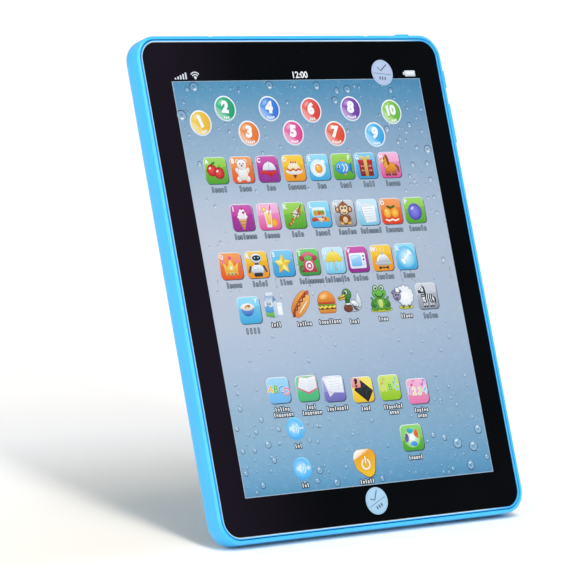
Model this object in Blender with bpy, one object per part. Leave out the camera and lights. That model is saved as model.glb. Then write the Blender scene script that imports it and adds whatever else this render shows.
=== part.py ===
"""Kids toy tablet: a battery-powered picture keyboard in a screwed two-part plastic casing.

The tablet stands upright: +X to its right, +Y from the printed face into its back, +Z up.
The origin is on the bottom edge, halfway across the width and halfway through the thickness.
Sizes are in millimetres, and MM turns them into metres. A "depth" counts from the front rim
towards the back; an x or a z is the world's own.
"""

import math

import bmesh
import bpy
from mathutils import Vector

MM = 0.001

# Casing
WIDTH = 184.0
HEIGHT = 240.0
THICKNESS = 18.0
CORNER = 11.5
PARALLEL_INSET = 4.0   # the side and its round keep parallel corners; the back's corners open out
BACK_CORNER_GROWTH = 0.6
CORNER_STEPS = 11
EDGE_STEPS = 3
BACK_STEPS = 5
WALL = 1.7
RIM_ROUND = 1.2
RIM_CHAMFER = 0.3
SIDE_END = 8.5
EDGE_ROUND = 3.2
EDGE_TURN = math.radians(65)
BACK_ROUND = (THICKNESS - SIDE_END - EDGE_ROUND * math.sin(EDGE_TURN)) / (1 - math.sin(EDGE_TURN))
BACK_FLAT = EDGE_ROUND * (1 - math.cos(EDGE_TURN)) + BACK_ROUND * math.cos(EDGE_TURN)
BACK_INSIDE = THICKNESS - WALL
BEHIND = THICKNESS + 1   # cutters that open to the back run to here
GAP = 0.3
CENTRE_Z = HEIGHT / 2

# Front housing: a tray whose rim shows as a thin ring inside the rear shell
SEAM = 0.4
RING = 0.9
SKIRT = 1.2
SKIRT_BACK = 7.5
RING_OUT = WALL + SEAM
RING_IN = RING_OUT + RING
RING_CREST = 0.2
RING_SHOULDER = 0.45
PLATE_FRONT = 2.85
PLATE_BACK = 4.1

# Printed film, its keys, and the membrane switch under them
FILM_INSET = RING_IN + GAP
FILM_FRONT = 0.5
FILM_BACK = 0.9
MEMBRANE_INSET = 3.8
TOP_CIRCUIT = (1.5, 1.65)
SPACER = (1.95, 2.1)
BOTTOM_CIRCUIT = (2.4, 2.55)
NUMBER_KEY_RADIUS = 6.2
NUMBER_KEYS = (
    (-62.2, 77.7), (-46.5, 84.5), (-35.0, 72.2), (-20.5, 84.0), (-8.7, 71.9),
    (4.5, 82.9), (16.8, 71.0), (29.0, 83.2), (41.2, 70.0), (54.0, 81.2),
)
MODE_KEY = (13.4, 13.0, 2.6)
MODE_KEYS = {
    "key_letters": (-44.6, -51.0),
    "key_words": (-27.8, -51.2),
    "key_spelling": (-12.2, -52.4),
    "key_quiz": (4.9, -54.0),
    "key_letter_song": (21.3, -54.1),
    "key_number_song": (38.1, -57.0),
}
REPEAT_KEY = (14.0, 13.4, 2.8)
REPEAT_PLACE = (29.5, -79.0)
VOLUME_KEY_RADIUS = 5.4
VOLUME_KEYS = {"key_volume_down": (-39.0, -69.4), "key_volume_up": (-39.0, -88.2)}
POWER_KEY_ROUND = 4.2
POWER_KEY_CORNERS = ((-4.2, -86.3), (-3.6, -89.3), (-0.1, -91.7), (1.1, -86.2))
POWER_KEY_PLACE = (-1.5, -88.0)
KEY_CIRCLE_SIDES = 24
KEY_CORNER_STEPS = 4
STICKER_RADIUS = 6.5
STICKER_DEPTHS = (0.05, 0.2)
STICKERS = {"sticker_top": (52.7, 101.0), "sticker_bottom": (1.0, -107.1)}

# Details moulded into the rear shell
SIDE_BUMP_RISE = 1.3
TOP_BUMP_RISE = 0.8
BUMP_ROOT = 1.0
BUMP_DEPTHS = (1.2, 5.7)
SIDE_BUMPS = ((213.0, 222.0), (185.0, 205.0))
TOP_BUMP = (67.0, 75.0)
EDGE_SLOTS = (36.0, 56.3, 65.4, 74.6)
EDGE_SLOT = (4.2, 5.6, 9.4)
EDGE_SLOT_REACH = 2.5
TOP_NOTCH_X = 47.0
TOP_NOTCH = (3.5, 0.45, 2.4)

# Case screws, from the back into the front housing's bosses
SCREW_X = 72.0
SCREW_ROWS = (CENTRE_Z - 98.0, CENTRE_Z, CENTRE_Z + 98.0)
POST_RADIUS = 3.5
POST_FRONT = 8.2
POST_BACK = 16.1
COUNTERBORE_RADIUS = 2.75
COUNTERBORE_FLOOR = 10.0
BOSS_RADIUS = 3.0
BOSS_BACK = POST_FRONT - GAP
CASE_SCREW_RADIUS = 1.1
CASE_SCREW_HEAD = 2.3
CASE_SCREW_TIP = 5.2
CASE_SCREW_TOP = 12.0
SCREW_PLAY = 0.4

# Battery bay, with three AAA cells
BAY_Z = 128.0
BAY_HALF_X = 17.0
BAY_HALF_Z = 25.0
BAY_FLOOR = 5.4
BAY_WALL = 1.3
CELL_RADIUS = 5.25
CELL_LENGTH = 44.5
CELL_PITCH = 11.1
CELL_DEPTH = 10.95
CELL_BASE = -20.5
NUB_RADIUS = 1.9
NUB_LENGTH = 0.8
CONTACT_NEAR = 24.3
CONTACT_FAR = 24.7
CONTACT_HALF = 4.2
CONTACT_DEPTHS = (6.8, 15.1)
TAB_DEPTHS = (9.5, 12.5)
TAB_START = 14.0
TAB_END = 21.0
TAB_PLAY = 0.4
COIL_WIRE = 0.35
COIL_WIDE = 3.4
COIL_NARROW = 2.0
COIL_TURNS = 2.5
COIL_STEPS = 10

# Battery door, on two pins at its lower end and one captive screw at its upper end
DOOR_HALF = 19.6
DOOR_INSIDE = 16.5
DOOR_TOP = 164.5
DOOR_CORNER = 3.0
DOOR_GAP = 0.4
HINGE_Z = 98.5
HINGE_DEPTH = 16.2
HINGE_ROUND = THICKNESS - HINGE_DEPTH
PIN_RADIUS = 0.8
PIN_END = 21.0
FRAME_HALF = 23.5
FRAME_FRONT = 13.0
FRAME_BACK = 16.9
FRAME_BOTTOM = HINGE_Z - 4.0
FRAME_TOP = 167.5
LOCK_Z = 159.5
LOCK_BOSS = 4.2
LOCK_BOSS_FRONT = 15.0
LOCK_SEAT = 16.4
LOCK_HEAD = 2.6
LOCK_SHAFT = 1.2
LOCK_TIP = 10.8
LOCK_POST = 3.4
LOCK_POST_FRONT = 8.5
LOCK_BORE = 1.9

# Circuit board
BOARD_X = (-62.0, 2.0)
BOARD_Z = (29.0, 75.0)
BOARD_DEPTHS = (8.0, 9.2)
BOARD_SCREWS = ((-58.0, 33.0), (-2.0, 71.0))
BOARD_RESTS = ((-2.0, 33.0), (-58.0, 71.0))
BOARD_SCREW_RADIUS = 0.8
BOARD_SCREW_HEAD = 1.8
BOARD_SCREW_TIP = 5.6
BOARD_SCREW_TOP = 10.7
BOARD_POST = 2.4
BOARD_REST = 1.6
ON_BOARD = BOARD_DEPTHS[1] + GAP
CHIP = (-22.0, 54.0)
CAPACITOR = (-45.0, 62.0)
TAIL_X = (-35.0, -21.0)
TAIL_THICK = 0.3
TAIL_SLOT = (-38.0, -18.0, 21.5, 27.5)
TAIL_ROUTE = (
    (3.0, 27.0), (3.1, 25.6), (3.7, 24.6), (4.9, 24.1), (6.3, 23.9), (7.8, 23.9),
    (9.2, 24.4), (10.2, 25.6), (10.7, 27.4), (10.8, 29.5), (10.8, 33.4),
)

# Speaker
SPEAKER = (42.0, 52.0)
SPEAKER_SIDES = 28
GRILLE_SLOTS = 7
GRILLE_PITCH = 4.0
GRILLE_RADIUS = 15.0
GRILLE_WIDTH = 1.8
SPEAKER_SCREW_REACH = 21.0
SPEAKER_BOSS = (2.2, 14.7, BACK_INSIDE + 0.6)
SPEAKER_BORE = (14.0, 17.0)
SPEAKER_TAB = ((-19.4, -17.0), (15.1, 15.8), (-3.0, 6.0))
BASKET_PROFILE = (
    (0, 13.3), (9.0, 13.3), (16.0, 15.0), (18.0, 15.0), (18.0, 16.0), (16.8, 16.0),
    (16.3, 15.4), (9.3, 13.8), (0, 13.8),
)
CONE_PROFILE = (
    (0, 14.75), (4.0, 14.45), (5.0, 14.1), (15.6, 15.6), (15.6, 15.95), (15.2, 15.95),
    (5.2, 14.5), (4.1, 14.85), (0, 15.15),
)
MAGNET_PROFILE = ((0, 10.2), (8.4, 10.2), (9.0, 10.7), (9.0, 13.0), (0, 13.0))
SPEAKER_SCREW_PROFILE = (
    (0, 13.0), (2.5, 13.0), (3.4, 13.5), (3.4, 14.4), (0.8, 14.4), (0.8, 16.2), (0, 16.6),
)

# Wires, as routes of (x, depth, z) points
WIRE_RADIUS = 0.55
WIRE_SIDES = 8
WIRES = {
    "wire_battery_positive": (
        (21.9, 11.0, 152.5), (23.2, 11.0, 151.2), (23.6, 10.8, 147.0), (23.7, 10.6, 135.0),
        (23.7, 10.6, 112.0), (22.4, 10.6, 96.0), (16.0, 10.8, 86.0), (5.0, 11.0, 78.5),
        (-4.0, 11.3, 71.0), (-8.0, 11.0, 67.0), (-8.6, 9.9, 66.0),
    ),
    "wire_battery_negative": (
        (-21.9, 11.0, 103.5), (-23.2, 11.0, 102.2), (-23.4, 10.8, 98.0), (-22.6, 10.7, 90.0),
        (-19.0, 10.8, 81.0), (-15.0, 11.2, 72.0), (-13.6, 11.0, 67.5), (-13.2, 9.9, 66.0),
    ),
    "wire_speaker_positive": (
        (23.3, 14.3, 56.0), (23.0, 13.2, 56.1), (21.0, 12.2, 56.6), (14.0, 11.6, 58.2),
        (5.0, 11.5, 59.4), (-2.0, 11.3, 59.8), (-4.6, 10.9, 59.9), (-5.2, 9.9, 60.0),
    ),
    "wire_speaker_negative": (
        (23.3, 14.3, 51.0), (23.0, 13.2, 50.9), (21.0, 12.2, 50.6), (14.0, 11.6, 50.2),
        (5.0, 11.5, 50.4), (-2.0, 11.3, 51.0), (-4.6, 10.9, 51.2), (-5.2, 9.9, 51.3),
    ),
}

BLUE = (0.055, 0.50, 0.92)
BLACK = (0.006, 0.007, 0.012)
PALE = (0.62, 0.72, 0.83)
CLEAR_FILM = (0.75, 0.78, 0.76)
SILVER = (0.66, 0.67, 0.68)
BOARD_GREEN = (0.04, 0.24, 0.09)
STEEL = (0.55, 0.55, 0.56)
KEY_COLOURS = (
    (0.90, 0.62, 0.05), (0.04, 0.45, 0.25), (0.85, 0.28, 0.04), (0.05, 0.22, 0.68),
    (0.83, 0.13, 0.35), (0.78, 0.04, 0.05), (0.82, 0.10, 0.03), (0.25, 0.10, 0.55),
    (0.08, 0.45, 0.82), (0.28, 0.62, 0.12),
)


# ---------------------------------------------------------------- geometry helpers

def place(x, depth, z):
    """A point in the world, in metres."""
    return Vector((x, depth - THICKNESS / 2, z)) * MM


def circle(x, z, radius, sides):
    """A round outline of (x, z) points."""
    turn = 2 * math.pi / sides
    return [(x + radius * math.cos(i * turn), z + radius * math.sin(i * turn)) for i in range(sides)]


def rounded(centres, radius, steps=CORNER_STEPS):
    """An outline with an arc around each centre. The centres run anticlockwise."""
    points = []
    for i, (x, z) in enumerate(centres):
        before = centres[i - 1]
        after = centres[(i + 1) % len(centres)]
        start = math.atan2(z - before[1], x - before[0]) - math.pi / 2
        end = math.atan2(after[1] - z, after[0] - x) - math.pi / 2
        sweep = (end - start) % (2 * math.pi)
        for step in range(steps + 1):
            angle = start + sweep * step / steps
            points.append((x + radius * math.cos(angle), z + radius * math.sin(angle)))
    return points


def rounded_box(width, height, radius, x=0.0, z=0.0, steps=CORNER_STEPS):
    """A rectangle with round corners, centred on x and z."""
    half_x = width / 2 - radius
    half_z = height / 2 - radius
    corners = ((half_x, -half_z), (half_x, half_z), (-half_x, half_z), (-half_x, -half_z))
    return rounded([(x + a, z + b) for a, b in corners], radius, steps)


def casing_outline(inset):
    """The casing's outline seen from the front, moved in by an inset."""
    corner = CORNER - min(inset, PARALLEL_INSET) + max(inset - PARALLEL_INSET, 0) * BACK_CORNER_GROWTH
    return rounded_box(WIDTH - 2 * inset, HEIGHT - 2 * inset, corner, 0.0, CENTRE_Z)


def at_depth(outline, depth):
    """An (x, z) outline as a loop of points at one depth."""
    return [place(x, depth, z) for x, z in outline]


def skin(loops):
    """One closed object over a row of loops. A loop of one point is a pole."""
    mesh = bmesh.new()
    rings = [[mesh.verts.new(point) for point in loop] for loop in loops]
    for near, far in zip(rings, rings[1:]):
        count = max(len(near), len(far))
        for i in range(count):
            j = (i + 1) % count
            corners = [near[i % len(near)], near[j % len(near)], far[j % len(far)], far[i % len(far)]]
            mesh.faces.new(list(dict.fromkeys(corners)))
    for end in (rings[0], rings[-1]):
        if len(end) > 2:
            mesh.faces.new(end)
    bmesh.ops.recalc_face_normals(mesh, faces=mesh.faces)
    data = bpy.data.meshes.new("shape")
    mesh.to_mesh(data)
    mesh.free()
    body = bpy.data.objects.new("shape", data)
    bpy.context.collection.objects.link(body)
    return body


def slab(outline, front, back):
    """An (x, z) outline between two depths."""
    return skin([at_depth(outline, front), at_depth(outline, back)])


def rod(x, z, radius, front, back, sides=20):
    """A round bar that runs from front to back."""
    return slab(circle(x, z, radius, sides), front, back)


def box(x_range, depths, z_range):
    """A plain block."""
    left, right = x_range
    low, high = z_range
    return slab([(left, low), (right, low), (right, high), (left, high)], *depths)


def cross_bar(section, left, right):
    """A (depth, z) section that runs across the tablet."""
    return skin([[place(x, depth, z) for depth, z in section] for x in (left, right)])


def soft_block(x_range, depths, z_range, round_by=0.5):
    """A block with softened edges."""
    body = box(x_range, depths, z_range)
    mesh = bmesh.new()
    mesh.from_mesh(body.data)
    bmesh.ops.bevel(
        mesh, geom=mesh.edges[:], offset=round_by * MM, segments=2, profile=0.5, affect="EDGES",
    )
    mesh.to_mesh(body.data)
    mesh.free()
    return body


def turned(profile, x, z, sides=24):
    """A profile of (radius, depth) points turned about a line from front to back."""
    return skin([
        [place(x, depth, z)] if radius == 0 else at_depth(circle(x, z, radius, sides), depth)
        for radius, depth in profile
    ])


def turned_upright(profile, x, depth, sides=20):
    """A profile of (radius, z) points turned about an upright line."""
    loops = []
    for radius, z in profile:
        ring = [(x, depth)] if radius == 0 else circle(x, depth, radius, sides)
        loops.append([place(a, b, z) for a, b in ring])
    return skin(loops)


def tube(points, radius, sides):
    """A round wire along a list of world points."""
    loops = []
    side = Vector((0, 0, 1))
    for i, point in enumerate(points):
        ahead = points[min(i + 1, len(points) - 1)]
        behind = points[max(i - 1, 0)]
        along = (ahead - behind).normalized()
        side = (side - along * side.dot(along)).normalized()
        other = along.cross(side)
        turn = 2 * math.pi / sides
        loops.append([
            point + (side * math.cos(k * turn) + other * math.sin(k * turn)) * radius * MM
            for k in range(sides)
        ])
    return skin(loops)


def smooth_route(points, steps=3):
    """A Catmull-Rom curve through a route's points."""
    padded = [2 * points[0] - points[1]] + points + [2 * points[-1] - points[-2]]
    curve = []
    for a, b, c, d in zip(padded, padded[1:], padded[2:], padded[3:]):
        for step in range(steps):
            t = step / steps
            curve.append(0.5 * (2 * b + (c - a) * t + (2 * a - 5 * b + 4 * c - d) * t ** 2
                                + (3 * b - a - 3 * c + d) * t ** 3))
    return curve + [points[-1]]


def gather(bodies):
    """Several bodies as one triangulated object. The bodies are used up."""
    mesh = bmesh.new()
    for body in bodies:
        mesh.from_mesh(body.data)
    bmesh.ops.triangulate(mesh, faces=mesh.faces)
    data = bpy.data.meshes.new("shape")
    mesh.to_mesh(data)
    mesh.free()
    for body in bodies:
        bpy.data.objects.remove(body)
    together = bpy.data.objects.new("shape", data)
    bpy.context.collection.objects.link(together)
    return together


def combine(body, operation, tools):
    """The body with its tools joined, cut away or kept in common. Everything given is used up."""
    body = gather([body])
    tool = gather(tools)
    step = body.modifiers.new("combine", "BOOLEAN")
    step.operation = operation
    step.solver = "EXACT"
    step.use_self = True
    step.object = tool
    bpy.context.view_layer.update()
    finished = body.evaluated_get(bpy.context.evaluated_depsgraph_get())
    mesh = bpy.data.meshes.new_from_object(finished)
    body.modifiers.clear()
    body.data = mesh
    bpy.data.objects.remove(tool)
    return body


def join(body, tools):
    return combine(body, "UNION", tools)


def cut(body, tools):
    return combine(body, "DIFFERENCE", tools)


def finish(body, name, colour, roughness, metallic=0.0, origin=None):
    """Names a sub-part, moves its origin and gives it its own material."""
    body.name = name
    body.data.name = name
    if origin is not None:
        for vertex in body.data.vertices:
            vertex.co -= origin
        body.location = origin
    material = bpy.data.materials.new(name)
    material.use_nodes = True
    shader = material.node_tree.nodes["Principled BSDF"]
    shader.inputs["Base Color"].default_value = (*colour, 1.0)
    shader.inputs["Roughness"].default_value = roughness
    shader.inputs["Metallic"].default_value = metallic
    body.data.materials.clear()
    body.data.materials.append(material)
    body.data.shade_smooth()
    body.data.set_sharp_from_angle(angle=math.radians(35))
    return body


# ---------------------------------------------------------------- casing

def shell_profile(inside):
    """(inset, depth) points of the shell's side and back, from the side to the flat back."""
    points = []
    for step in range(EDGE_STEPS + 1):
        angle = EDGE_TURN * step / EDGE_STEPS
        radius = EDGE_ROUND - inside
        points.append((EDGE_ROUND - radius * math.cos(angle), SIDE_END + radius * math.sin(angle)))
    for step in range(1, BACK_STEPS + 1):
        angle = EDGE_TURN + (math.pi / 2 - EDGE_TURN) * step / BACK_STEPS
        radius = BACK_ROUND - inside
        depth = THICKNESS - BACK_ROUND + radius * math.sin(angle)
        points.append((BACK_FLAT - radius * math.cos(angle), depth))
    return points


def tub():
    """The rear shell's bare skin, open at the front."""
    profile = shell_profile(WALL)[::-1]
    profile.append((WALL, RIM_CHAMFER))
    profile.append((WALL - RIM_CHAMFER, 0.0))
    for step in range(EDGE_STEPS + 1):
        angle = math.pi / 2 * (1 - step / EDGE_STEPS)
        profile.append((RIM_ROUND * (1 - math.cos(angle)), RIM_ROUND * (1 - math.sin(angle))))
    profile += shell_profile(0.0)
    return skin([at_depth(casing_outline(inset), depth) for inset, depth in profile])


def case_screw_places():
    return [(side * SCREW_X, z) for z in SCREW_ROWS for side in (-1, 1)]


def speaker_screw_places():
    return [(SPEAKER[0], SPEAKER[1] + side * SPEAKER_SCREW_REACH) for side in (-1, 1)]


def hinge_arc(radius, start, end, steps=12):
    """(depth, z) points around the door's hinge line. Angle 0 faces the back, 90 faces down."""
    points = []
    for step in range(steps + 1):
        angle = math.radians(start + (end - start) * step / steps)
        points.append((HINGE_DEPTH + radius * math.cos(angle), HINGE_Z - radius * math.sin(angle)))
    return points


def pin_section(radius):
    """A round (depth, z) section on the door's hinge line."""
    return circle(HINGE_DEPTH, HINGE_Z, radius, 16)


def door_block(section, gap):
    """A door section run across the tablet, with its two upper corners rounded."""
    bottom = HINGE_Z - 2 * HINGE_ROUND
    top = DOOR_TOP + gap
    half = DOOR_HALF + gap
    corners = rounded_box(2 * half, top - bottom, DOOR_CORNER + gap, 0.0, (top + bottom) / 2)
    upper_corners = corners[CORNER_STEPS + 1:3 * (CORNER_STEPS + 1)]
    outline = [(-half, bottom), (half, bottom)] + upper_corners
    body = cross_bar(section, -FRAME_HALF, FRAME_HALF)
    return combine(body, "INTERSECT", [slab(outline, FRAME_FRONT - 1, BEHIND + 1)])


def door_recess():
    """The space that the battery door sits in, cut from the shell."""
    section = hinge_arc(HINGE_ROUND + DOOR_GAP, 90, 270)
    section += [(HINGE_DEPTH, DOOR_TOP + DOOR_GAP), (BEHIND, DOOR_TOP + DOOR_GAP)]
    section.append((BEHIND, HINGE_Z - HINGE_ROUND - DOOR_GAP))
    return door_block(section, DOOR_GAP)


def grille_cutters():
    """A round field of speaker slots."""
    x, z = SPEAKER
    corner = GRILLE_WIDTH / 2 - 0.01
    cutters = []
    for i in range(GRILLE_SLOTS):
        rise = (i - (GRILLE_SLOTS - 1) / 2) * GRILLE_PITCH
        length = 2 * math.sqrt(GRILLE_RADIUS ** 2 - rise ** 2)
        outline = rounded_box(length, GRILLE_WIDTH, corner, x, z + rise, EDGE_STEPS)
        cutters.append(slab(outline, BACK_INSIDE - 1, BEHIND))
    return cutters


def bumps():
    """The dummy buttons moulded on the right side and the top edge."""
    blocks = [
        soft_block((WIDTH / 2 - BUMP_ROOT, WIDTH / 2 + SIDE_BUMP_RISE), BUMP_DEPTHS, z_range)
        for z_range in SIDE_BUMPS
    ]
    blocks.append(soft_block(TOP_BUMP, BUMP_DEPTHS, (HEIGHT - BUMP_ROOT, HEIGHT + TOP_BUMP_RISE)))
    return blocks


def bay_block(grow, front, back):
    """The battery bay's outline as a block, grown sideways and up and down."""
    half_x = BAY_HALF_X + grow
    half_z = BAY_HALF_Z + grow
    return box((-half_x, half_x), (front, back), (BAY_Z - half_z, BAY_Z + half_z))


def bay_cutters():
    """The battery bay, its door's recess, lock and pin holes, and the slots for the solder tabs."""
    cutters = [
        bay_block(0.0, BAY_FLOOR, BEHIND),
        door_recess(),
        rod(0.0, LOCK_Z, LOCK_BOSS + DOOR_GAP, LOCK_BOSS_FRONT - DOOR_GAP, BEHIND),
        rod(0.0, LOCK_Z, LOCK_BORE, LOCK_TIP - 1, BEHIND),
        cross_bar(pin_section(PIN_RADIUS + DOOR_GAP), -PIN_END - DOOR_GAP, PIN_END + DOOR_GAP),
    ]
    for side in (-1, 1):
        across = sorted((side * (BAY_HALF_X - 0.5), side * (BAY_HALF_X + BAY_WALL + 0.5)))
        strip = BAY_Z + side * (CONTACT_NEAR + CONTACT_FAR) / 2
        cutters.append(box(
            across,
            (TAB_DEPTHS[0] - TAB_PLAY, TAB_DEPTHS[1] + TAB_PLAY),
            (strip - 2 * TAB_PLAY, strip + 2 * TAB_PLAY),
        ))
    return cutters


def screw_cutters():
    """The case screws' counterbores and holes, and the speaker screws' holes."""
    cutters = []
    bore = CASE_SCREW_RADIUS + SCREW_PLAY
    for x, z in case_screw_places():
        cutters.append(rod(x, z, COUNTERBORE_RADIUS, COUNTERBORE_FLOOR, BEHIND))
        cutters.append(rod(x, z, bore, POST_FRONT - 1, COUNTERBORE_FLOOR + 1, 16))
    for x, z in speaker_screw_places():
        cutters.append(rod(x, z, BOARD_SCREW_RADIUS + GAP, *SPEAKER_BORE, 12))
    return cutters


def edge_cutters():
    """The small slots in the bottom edge and the notches in the top edge."""
    cutters = []
    for x in EDGE_SLOTS:
        half = EDGE_SLOT[0] / 2
        cutters.append(box((x - half, x + half), EDGE_SLOT[1:], (-1.0, EDGE_SLOT_REACH)))
    width, deep, reach = TOP_NOTCH
    for x in (-TOP_NOTCH_X, TOP_NOTCH_X):
        cutters.append(box((x - width / 2, x + width / 2), (-1.0, reach), (HEIGHT - deep, HEIGHT + 1)))
    return cutters


def rear_shell():
    solids = [
        bay_block(BAY_WALL, PLATE_BACK + GAP, FRAME_BACK - GAP),
        box((-FRAME_HALF, FRAME_HALF), (FRAME_FRONT, FRAME_BACK), (FRAME_BOTTOM, FRAME_TOP)),
        rod(0.0, LOCK_Z, LOCK_POST, LOCK_POST_FRONT, FRAME_FRONT + 0.5),
    ]
    solids += [rod(x, z, POST_RADIUS, POST_FRONT, POST_BACK) for x, z in case_screw_places()]
    solids += [rod(x, z, *SPEAKER_BOSS, 12) for x, z in speaker_screw_places()]
    body = join(tub(), solids + bumps())
    body = cut(body, bay_cutters() + screw_cutters() + edge_cutters() + grille_cutters())
    return finish(body, "rear_shell", BLUE, 0.30)


def front_housing():
    profile = [
        (RING_IN, PLATE_FRONT),
        (RING_IN, RING_SHOULDER),
        (RING_IN - 0.2, RING_CREST),
        (RING_OUT + 0.2, RING_CREST),
        (RING_OUT, RING_SHOULDER),
        (RING_OUT, SKIRT_BACK),
        (RING_OUT + SKIRT, SKIRT_BACK),
        (RING_OUT + SKIRT, PLATE_BACK),
    ]
    body = skin([at_depth(casing_outline(inset), depth) for inset, depth in profile])
    root = PLATE_BACK - 0.5
    solids = [rod(x, z, BOSS_RADIUS, root, BOSS_BACK) for x, z in case_screw_places()]
    solids += [rod(x, z, BOARD_POST, root, BOARD_DEPTHS[0] - GAP, 16) for x, z in BOARD_SCREWS]
    solids += [rod(x, z, BOARD_REST, root, BOARD_DEPTHS[0] - GAP, 12) for x, z in BOARD_RESTS]
    body = join(body, solids)
    cutters = [box(TAIL_SLOT[:2], (PLATE_FRONT - 1, PLATE_BACK + 1), TAIL_SLOT[2:])]
    bore = CASE_SCREW_RADIUS + SCREW_PLAY
    for x, z in case_screw_places():
        cutters.append(rod(x, z, bore, CASE_SCREW_TIP - 0.5, BOSS_BACK + 1, 16))
    bore = BOARD_SCREW_RADIUS + GAP
    for x, z in BOARD_SCREWS:
        cutters.append(rod(x, z, bore, BOARD_SCREW_TIP - 0.5, BOARD_DEPTHS[0] + 1, 12))
    body = cut(body, cutters)
    return finish(body, "front_housing", BLUE, 0.30)


def cross_head_screw(name, x, z, shaft, head, tip, seat, top, origin=None):
    """A pan-head screw whose head faces the back, with a cross recess."""
    body = turned(
        [
            (0, tip), (shaft * 0.6, tip), (shaft, tip + 0.5), (shaft, seat), (head, seat),
            (head, top - 0.5), (head * 0.72, top), (0, top),
        ],
        x, z, 16,
    )
    arm = head * 0.6
    width = head * 0.13
    recess = (top - 0.6, top + 1)
    body = cut(body, [
        box((x - arm, x + arm), recess, (z - width, z + width)),
        box((x - width, x + width), recess, (z - arm, z + arm)),
    ])
    return finish(body, name, STEEL, 0.32, 1.0, origin)


def case_screws():
    return [
        cross_head_screw(
            f"case_screw_{i}", x, z, CASE_SCREW_RADIUS, CASE_SCREW_HEAD, CASE_SCREW_TIP,
            COUNTERBORE_FLOOR + GAP, CASE_SCREW_TOP,
        )
        for i, (x, z) in enumerate(case_screw_places(), 1)
    ]


# ---------------------------------------------------------------- printed face

def on_face(place_on_face):
    """A place given from the middle of the face, as world x and z."""
    return place_on_face[0], place_on_face[1] + CENTRE_Z


def key_outlines(grow=0.0):
    """Each key's (x, z) outline, by name, grown by the gap around it."""
    outlines = {}
    for i, spot in enumerate(NUMBER_KEYS, 1):
        outlines[f"key_number_{i}"] = circle(*on_face(spot), NUMBER_KEY_RADIUS + grow, KEY_CIRCLE_SIDES)
    squares = {name: (spot, MODE_KEY) for name, spot in MODE_KEYS.items()}
    squares["key_repeat"] = (REPEAT_PLACE, REPEAT_KEY)
    for name, (spot, (width, height, corner)) in squares.items():
        outlines[name] = rounded_box(
            width + 2 * grow, height + 2 * grow, corner + grow, *on_face(spot), KEY_CORNER_STEPS
        )
    for name, spot in VOLUME_KEYS.items():
        outlines[name] = circle(*on_face(spot), VOLUME_KEY_RADIUS + grow, KEY_CIRCLE_SIDES)
    corners = [on_face(corner) for corner in POWER_KEY_CORNERS]
    outlines["key_on_off"] = rounded(corners, POWER_KEY_ROUND + grow, CORNER_STEPS)
    return outlines


def printed_film():
    body = slab(casing_outline(FILM_INSET), FILM_FRONT, FILM_BACK)
    holes = [slab(outline, FILM_FRONT - 1, FILM_BACK + 0.5) for outline in key_outlines(GAP).values()]
    body = cut(body, holes)
    return finish(body, "printed_film", BLACK, 0.08)


def keys():
    """The film's press areas, each with its origin in its own middle."""
    places = {f"key_number_{i}": spot for i, spot in enumerate(NUMBER_KEYS, 1)}
    places.update(MODE_KEYS)
    places.update(VOLUME_KEYS)
    places["key_repeat"] = REPEAT_PLACE
    places["key_on_off"] = POWER_KEY_PLACE
    colours = {f"key_number_{i}": colour for i, colour in enumerate(KEY_COLOURS, 1)}
    bodies = []
    for name, outline in key_outlines().items():
        x, z = on_face(places[name])
        body = slab(outline, FILM_FRONT, FILM_BACK)
        bodies.append(finish(body, name, colours.get(name, PALE), 0.10, 0.0, place(x, FILM_FRONT, z)))
    return bodies


def membrane():
    """The three layers of the membrane switch."""
    layers = {
        "membrane_top_circuit": (TOP_CIRCUIT, CLEAR_FILM),
        "membrane_spacer": (SPACER, CLEAR_FILM),
        "membrane_bottom_circuit": (BOTTOM_CIRCUIT, CLEAR_FILM),
    }
    return [
        finish(slab(casing_outline(MEMBRANE_INSET), *depths), name, colour, 0.35)
        for name, (depths, colour) in layers.items()
    ]


def stickers():
    return [
        finish(slab(circle(*on_face(spot), STICKER_RADIUS, 32), *STICKER_DEPTHS), name, PALE, 0.45)
        for name, spot in STICKERS.items()
    ]


# ---------------------------------------------------------------- electronics

def membrane_tail():
    """The flat cable from the membrane, through the front housing's slot, to its connector."""
    loops = []
    for i, (depth, z) in enumerate(TAIL_ROUTE):
        ahead = TAIL_ROUTE[min(i + 1, len(TAIL_ROUTE) - 1)]
        behind = TAIL_ROUTE[max(i - 1, 0)]
        along = Vector((ahead[0] - behind[0], ahead[1] - behind[1])).normalized()
        half = TAIL_THICK / 2
        corners = []
        for x, side in ((TAIL_X[0], 1), (TAIL_X[1], 1), (TAIL_X[1], -1), (TAIL_X[0], -1)):
            corners.append(place(x, depth - along[1] * half * side, z + along[0] * half * side))
        loops.append(corners)
    return finish(skin(loops), "membrane_tail", CLEAR_FILM, 0.35)


def cable_connector():
    left, right = TAIL_X
    body = box((left - 1, right + 1), (ON_BOARD, ON_BOARD + 2.5), (31.0, 36.0))
    body = cut(body, [box((left - 0.3, right + 0.3), (10.3, 11.3), (30.0, 34.0))])
    return finish(body, "cable_connector", (0.82, 0.80, 0.74), 0.45)


def circuit_board():
    body = box(BOARD_X, BOARD_DEPTHS, BOARD_Z)
    holes = [rod(x, z, BOARD_SCREW_RADIUS + GAP, 7.0, 10.0, 12) for x, z in BOARD_SCREWS]
    body = cut(body, holes)
    return finish(body, "circuit_board", BOARD_GREEN, 0.40)


def chip_blob():
    x, z = CHIP
    profile = [(0, ON_BOARD), (6.5, ON_BOARD), (6.2, 10.2), (4.6, 10.9), (2.4, 11.25), (0, 11.35)]
    return finish(turned(profile, x, z), "chip_blob", BLACK, 0.25)


def capacitor():
    x, z = CAPACITOR
    profile = [(0, ON_BOARD), (3.0, ON_BOARD), (3.0, 14.6), (2.7, 15.0), (0, 15.0)]
    return finish(turned(profile, x, z, 20), "capacitor", (0.03, 0.05, 0.16), 0.35)


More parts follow.
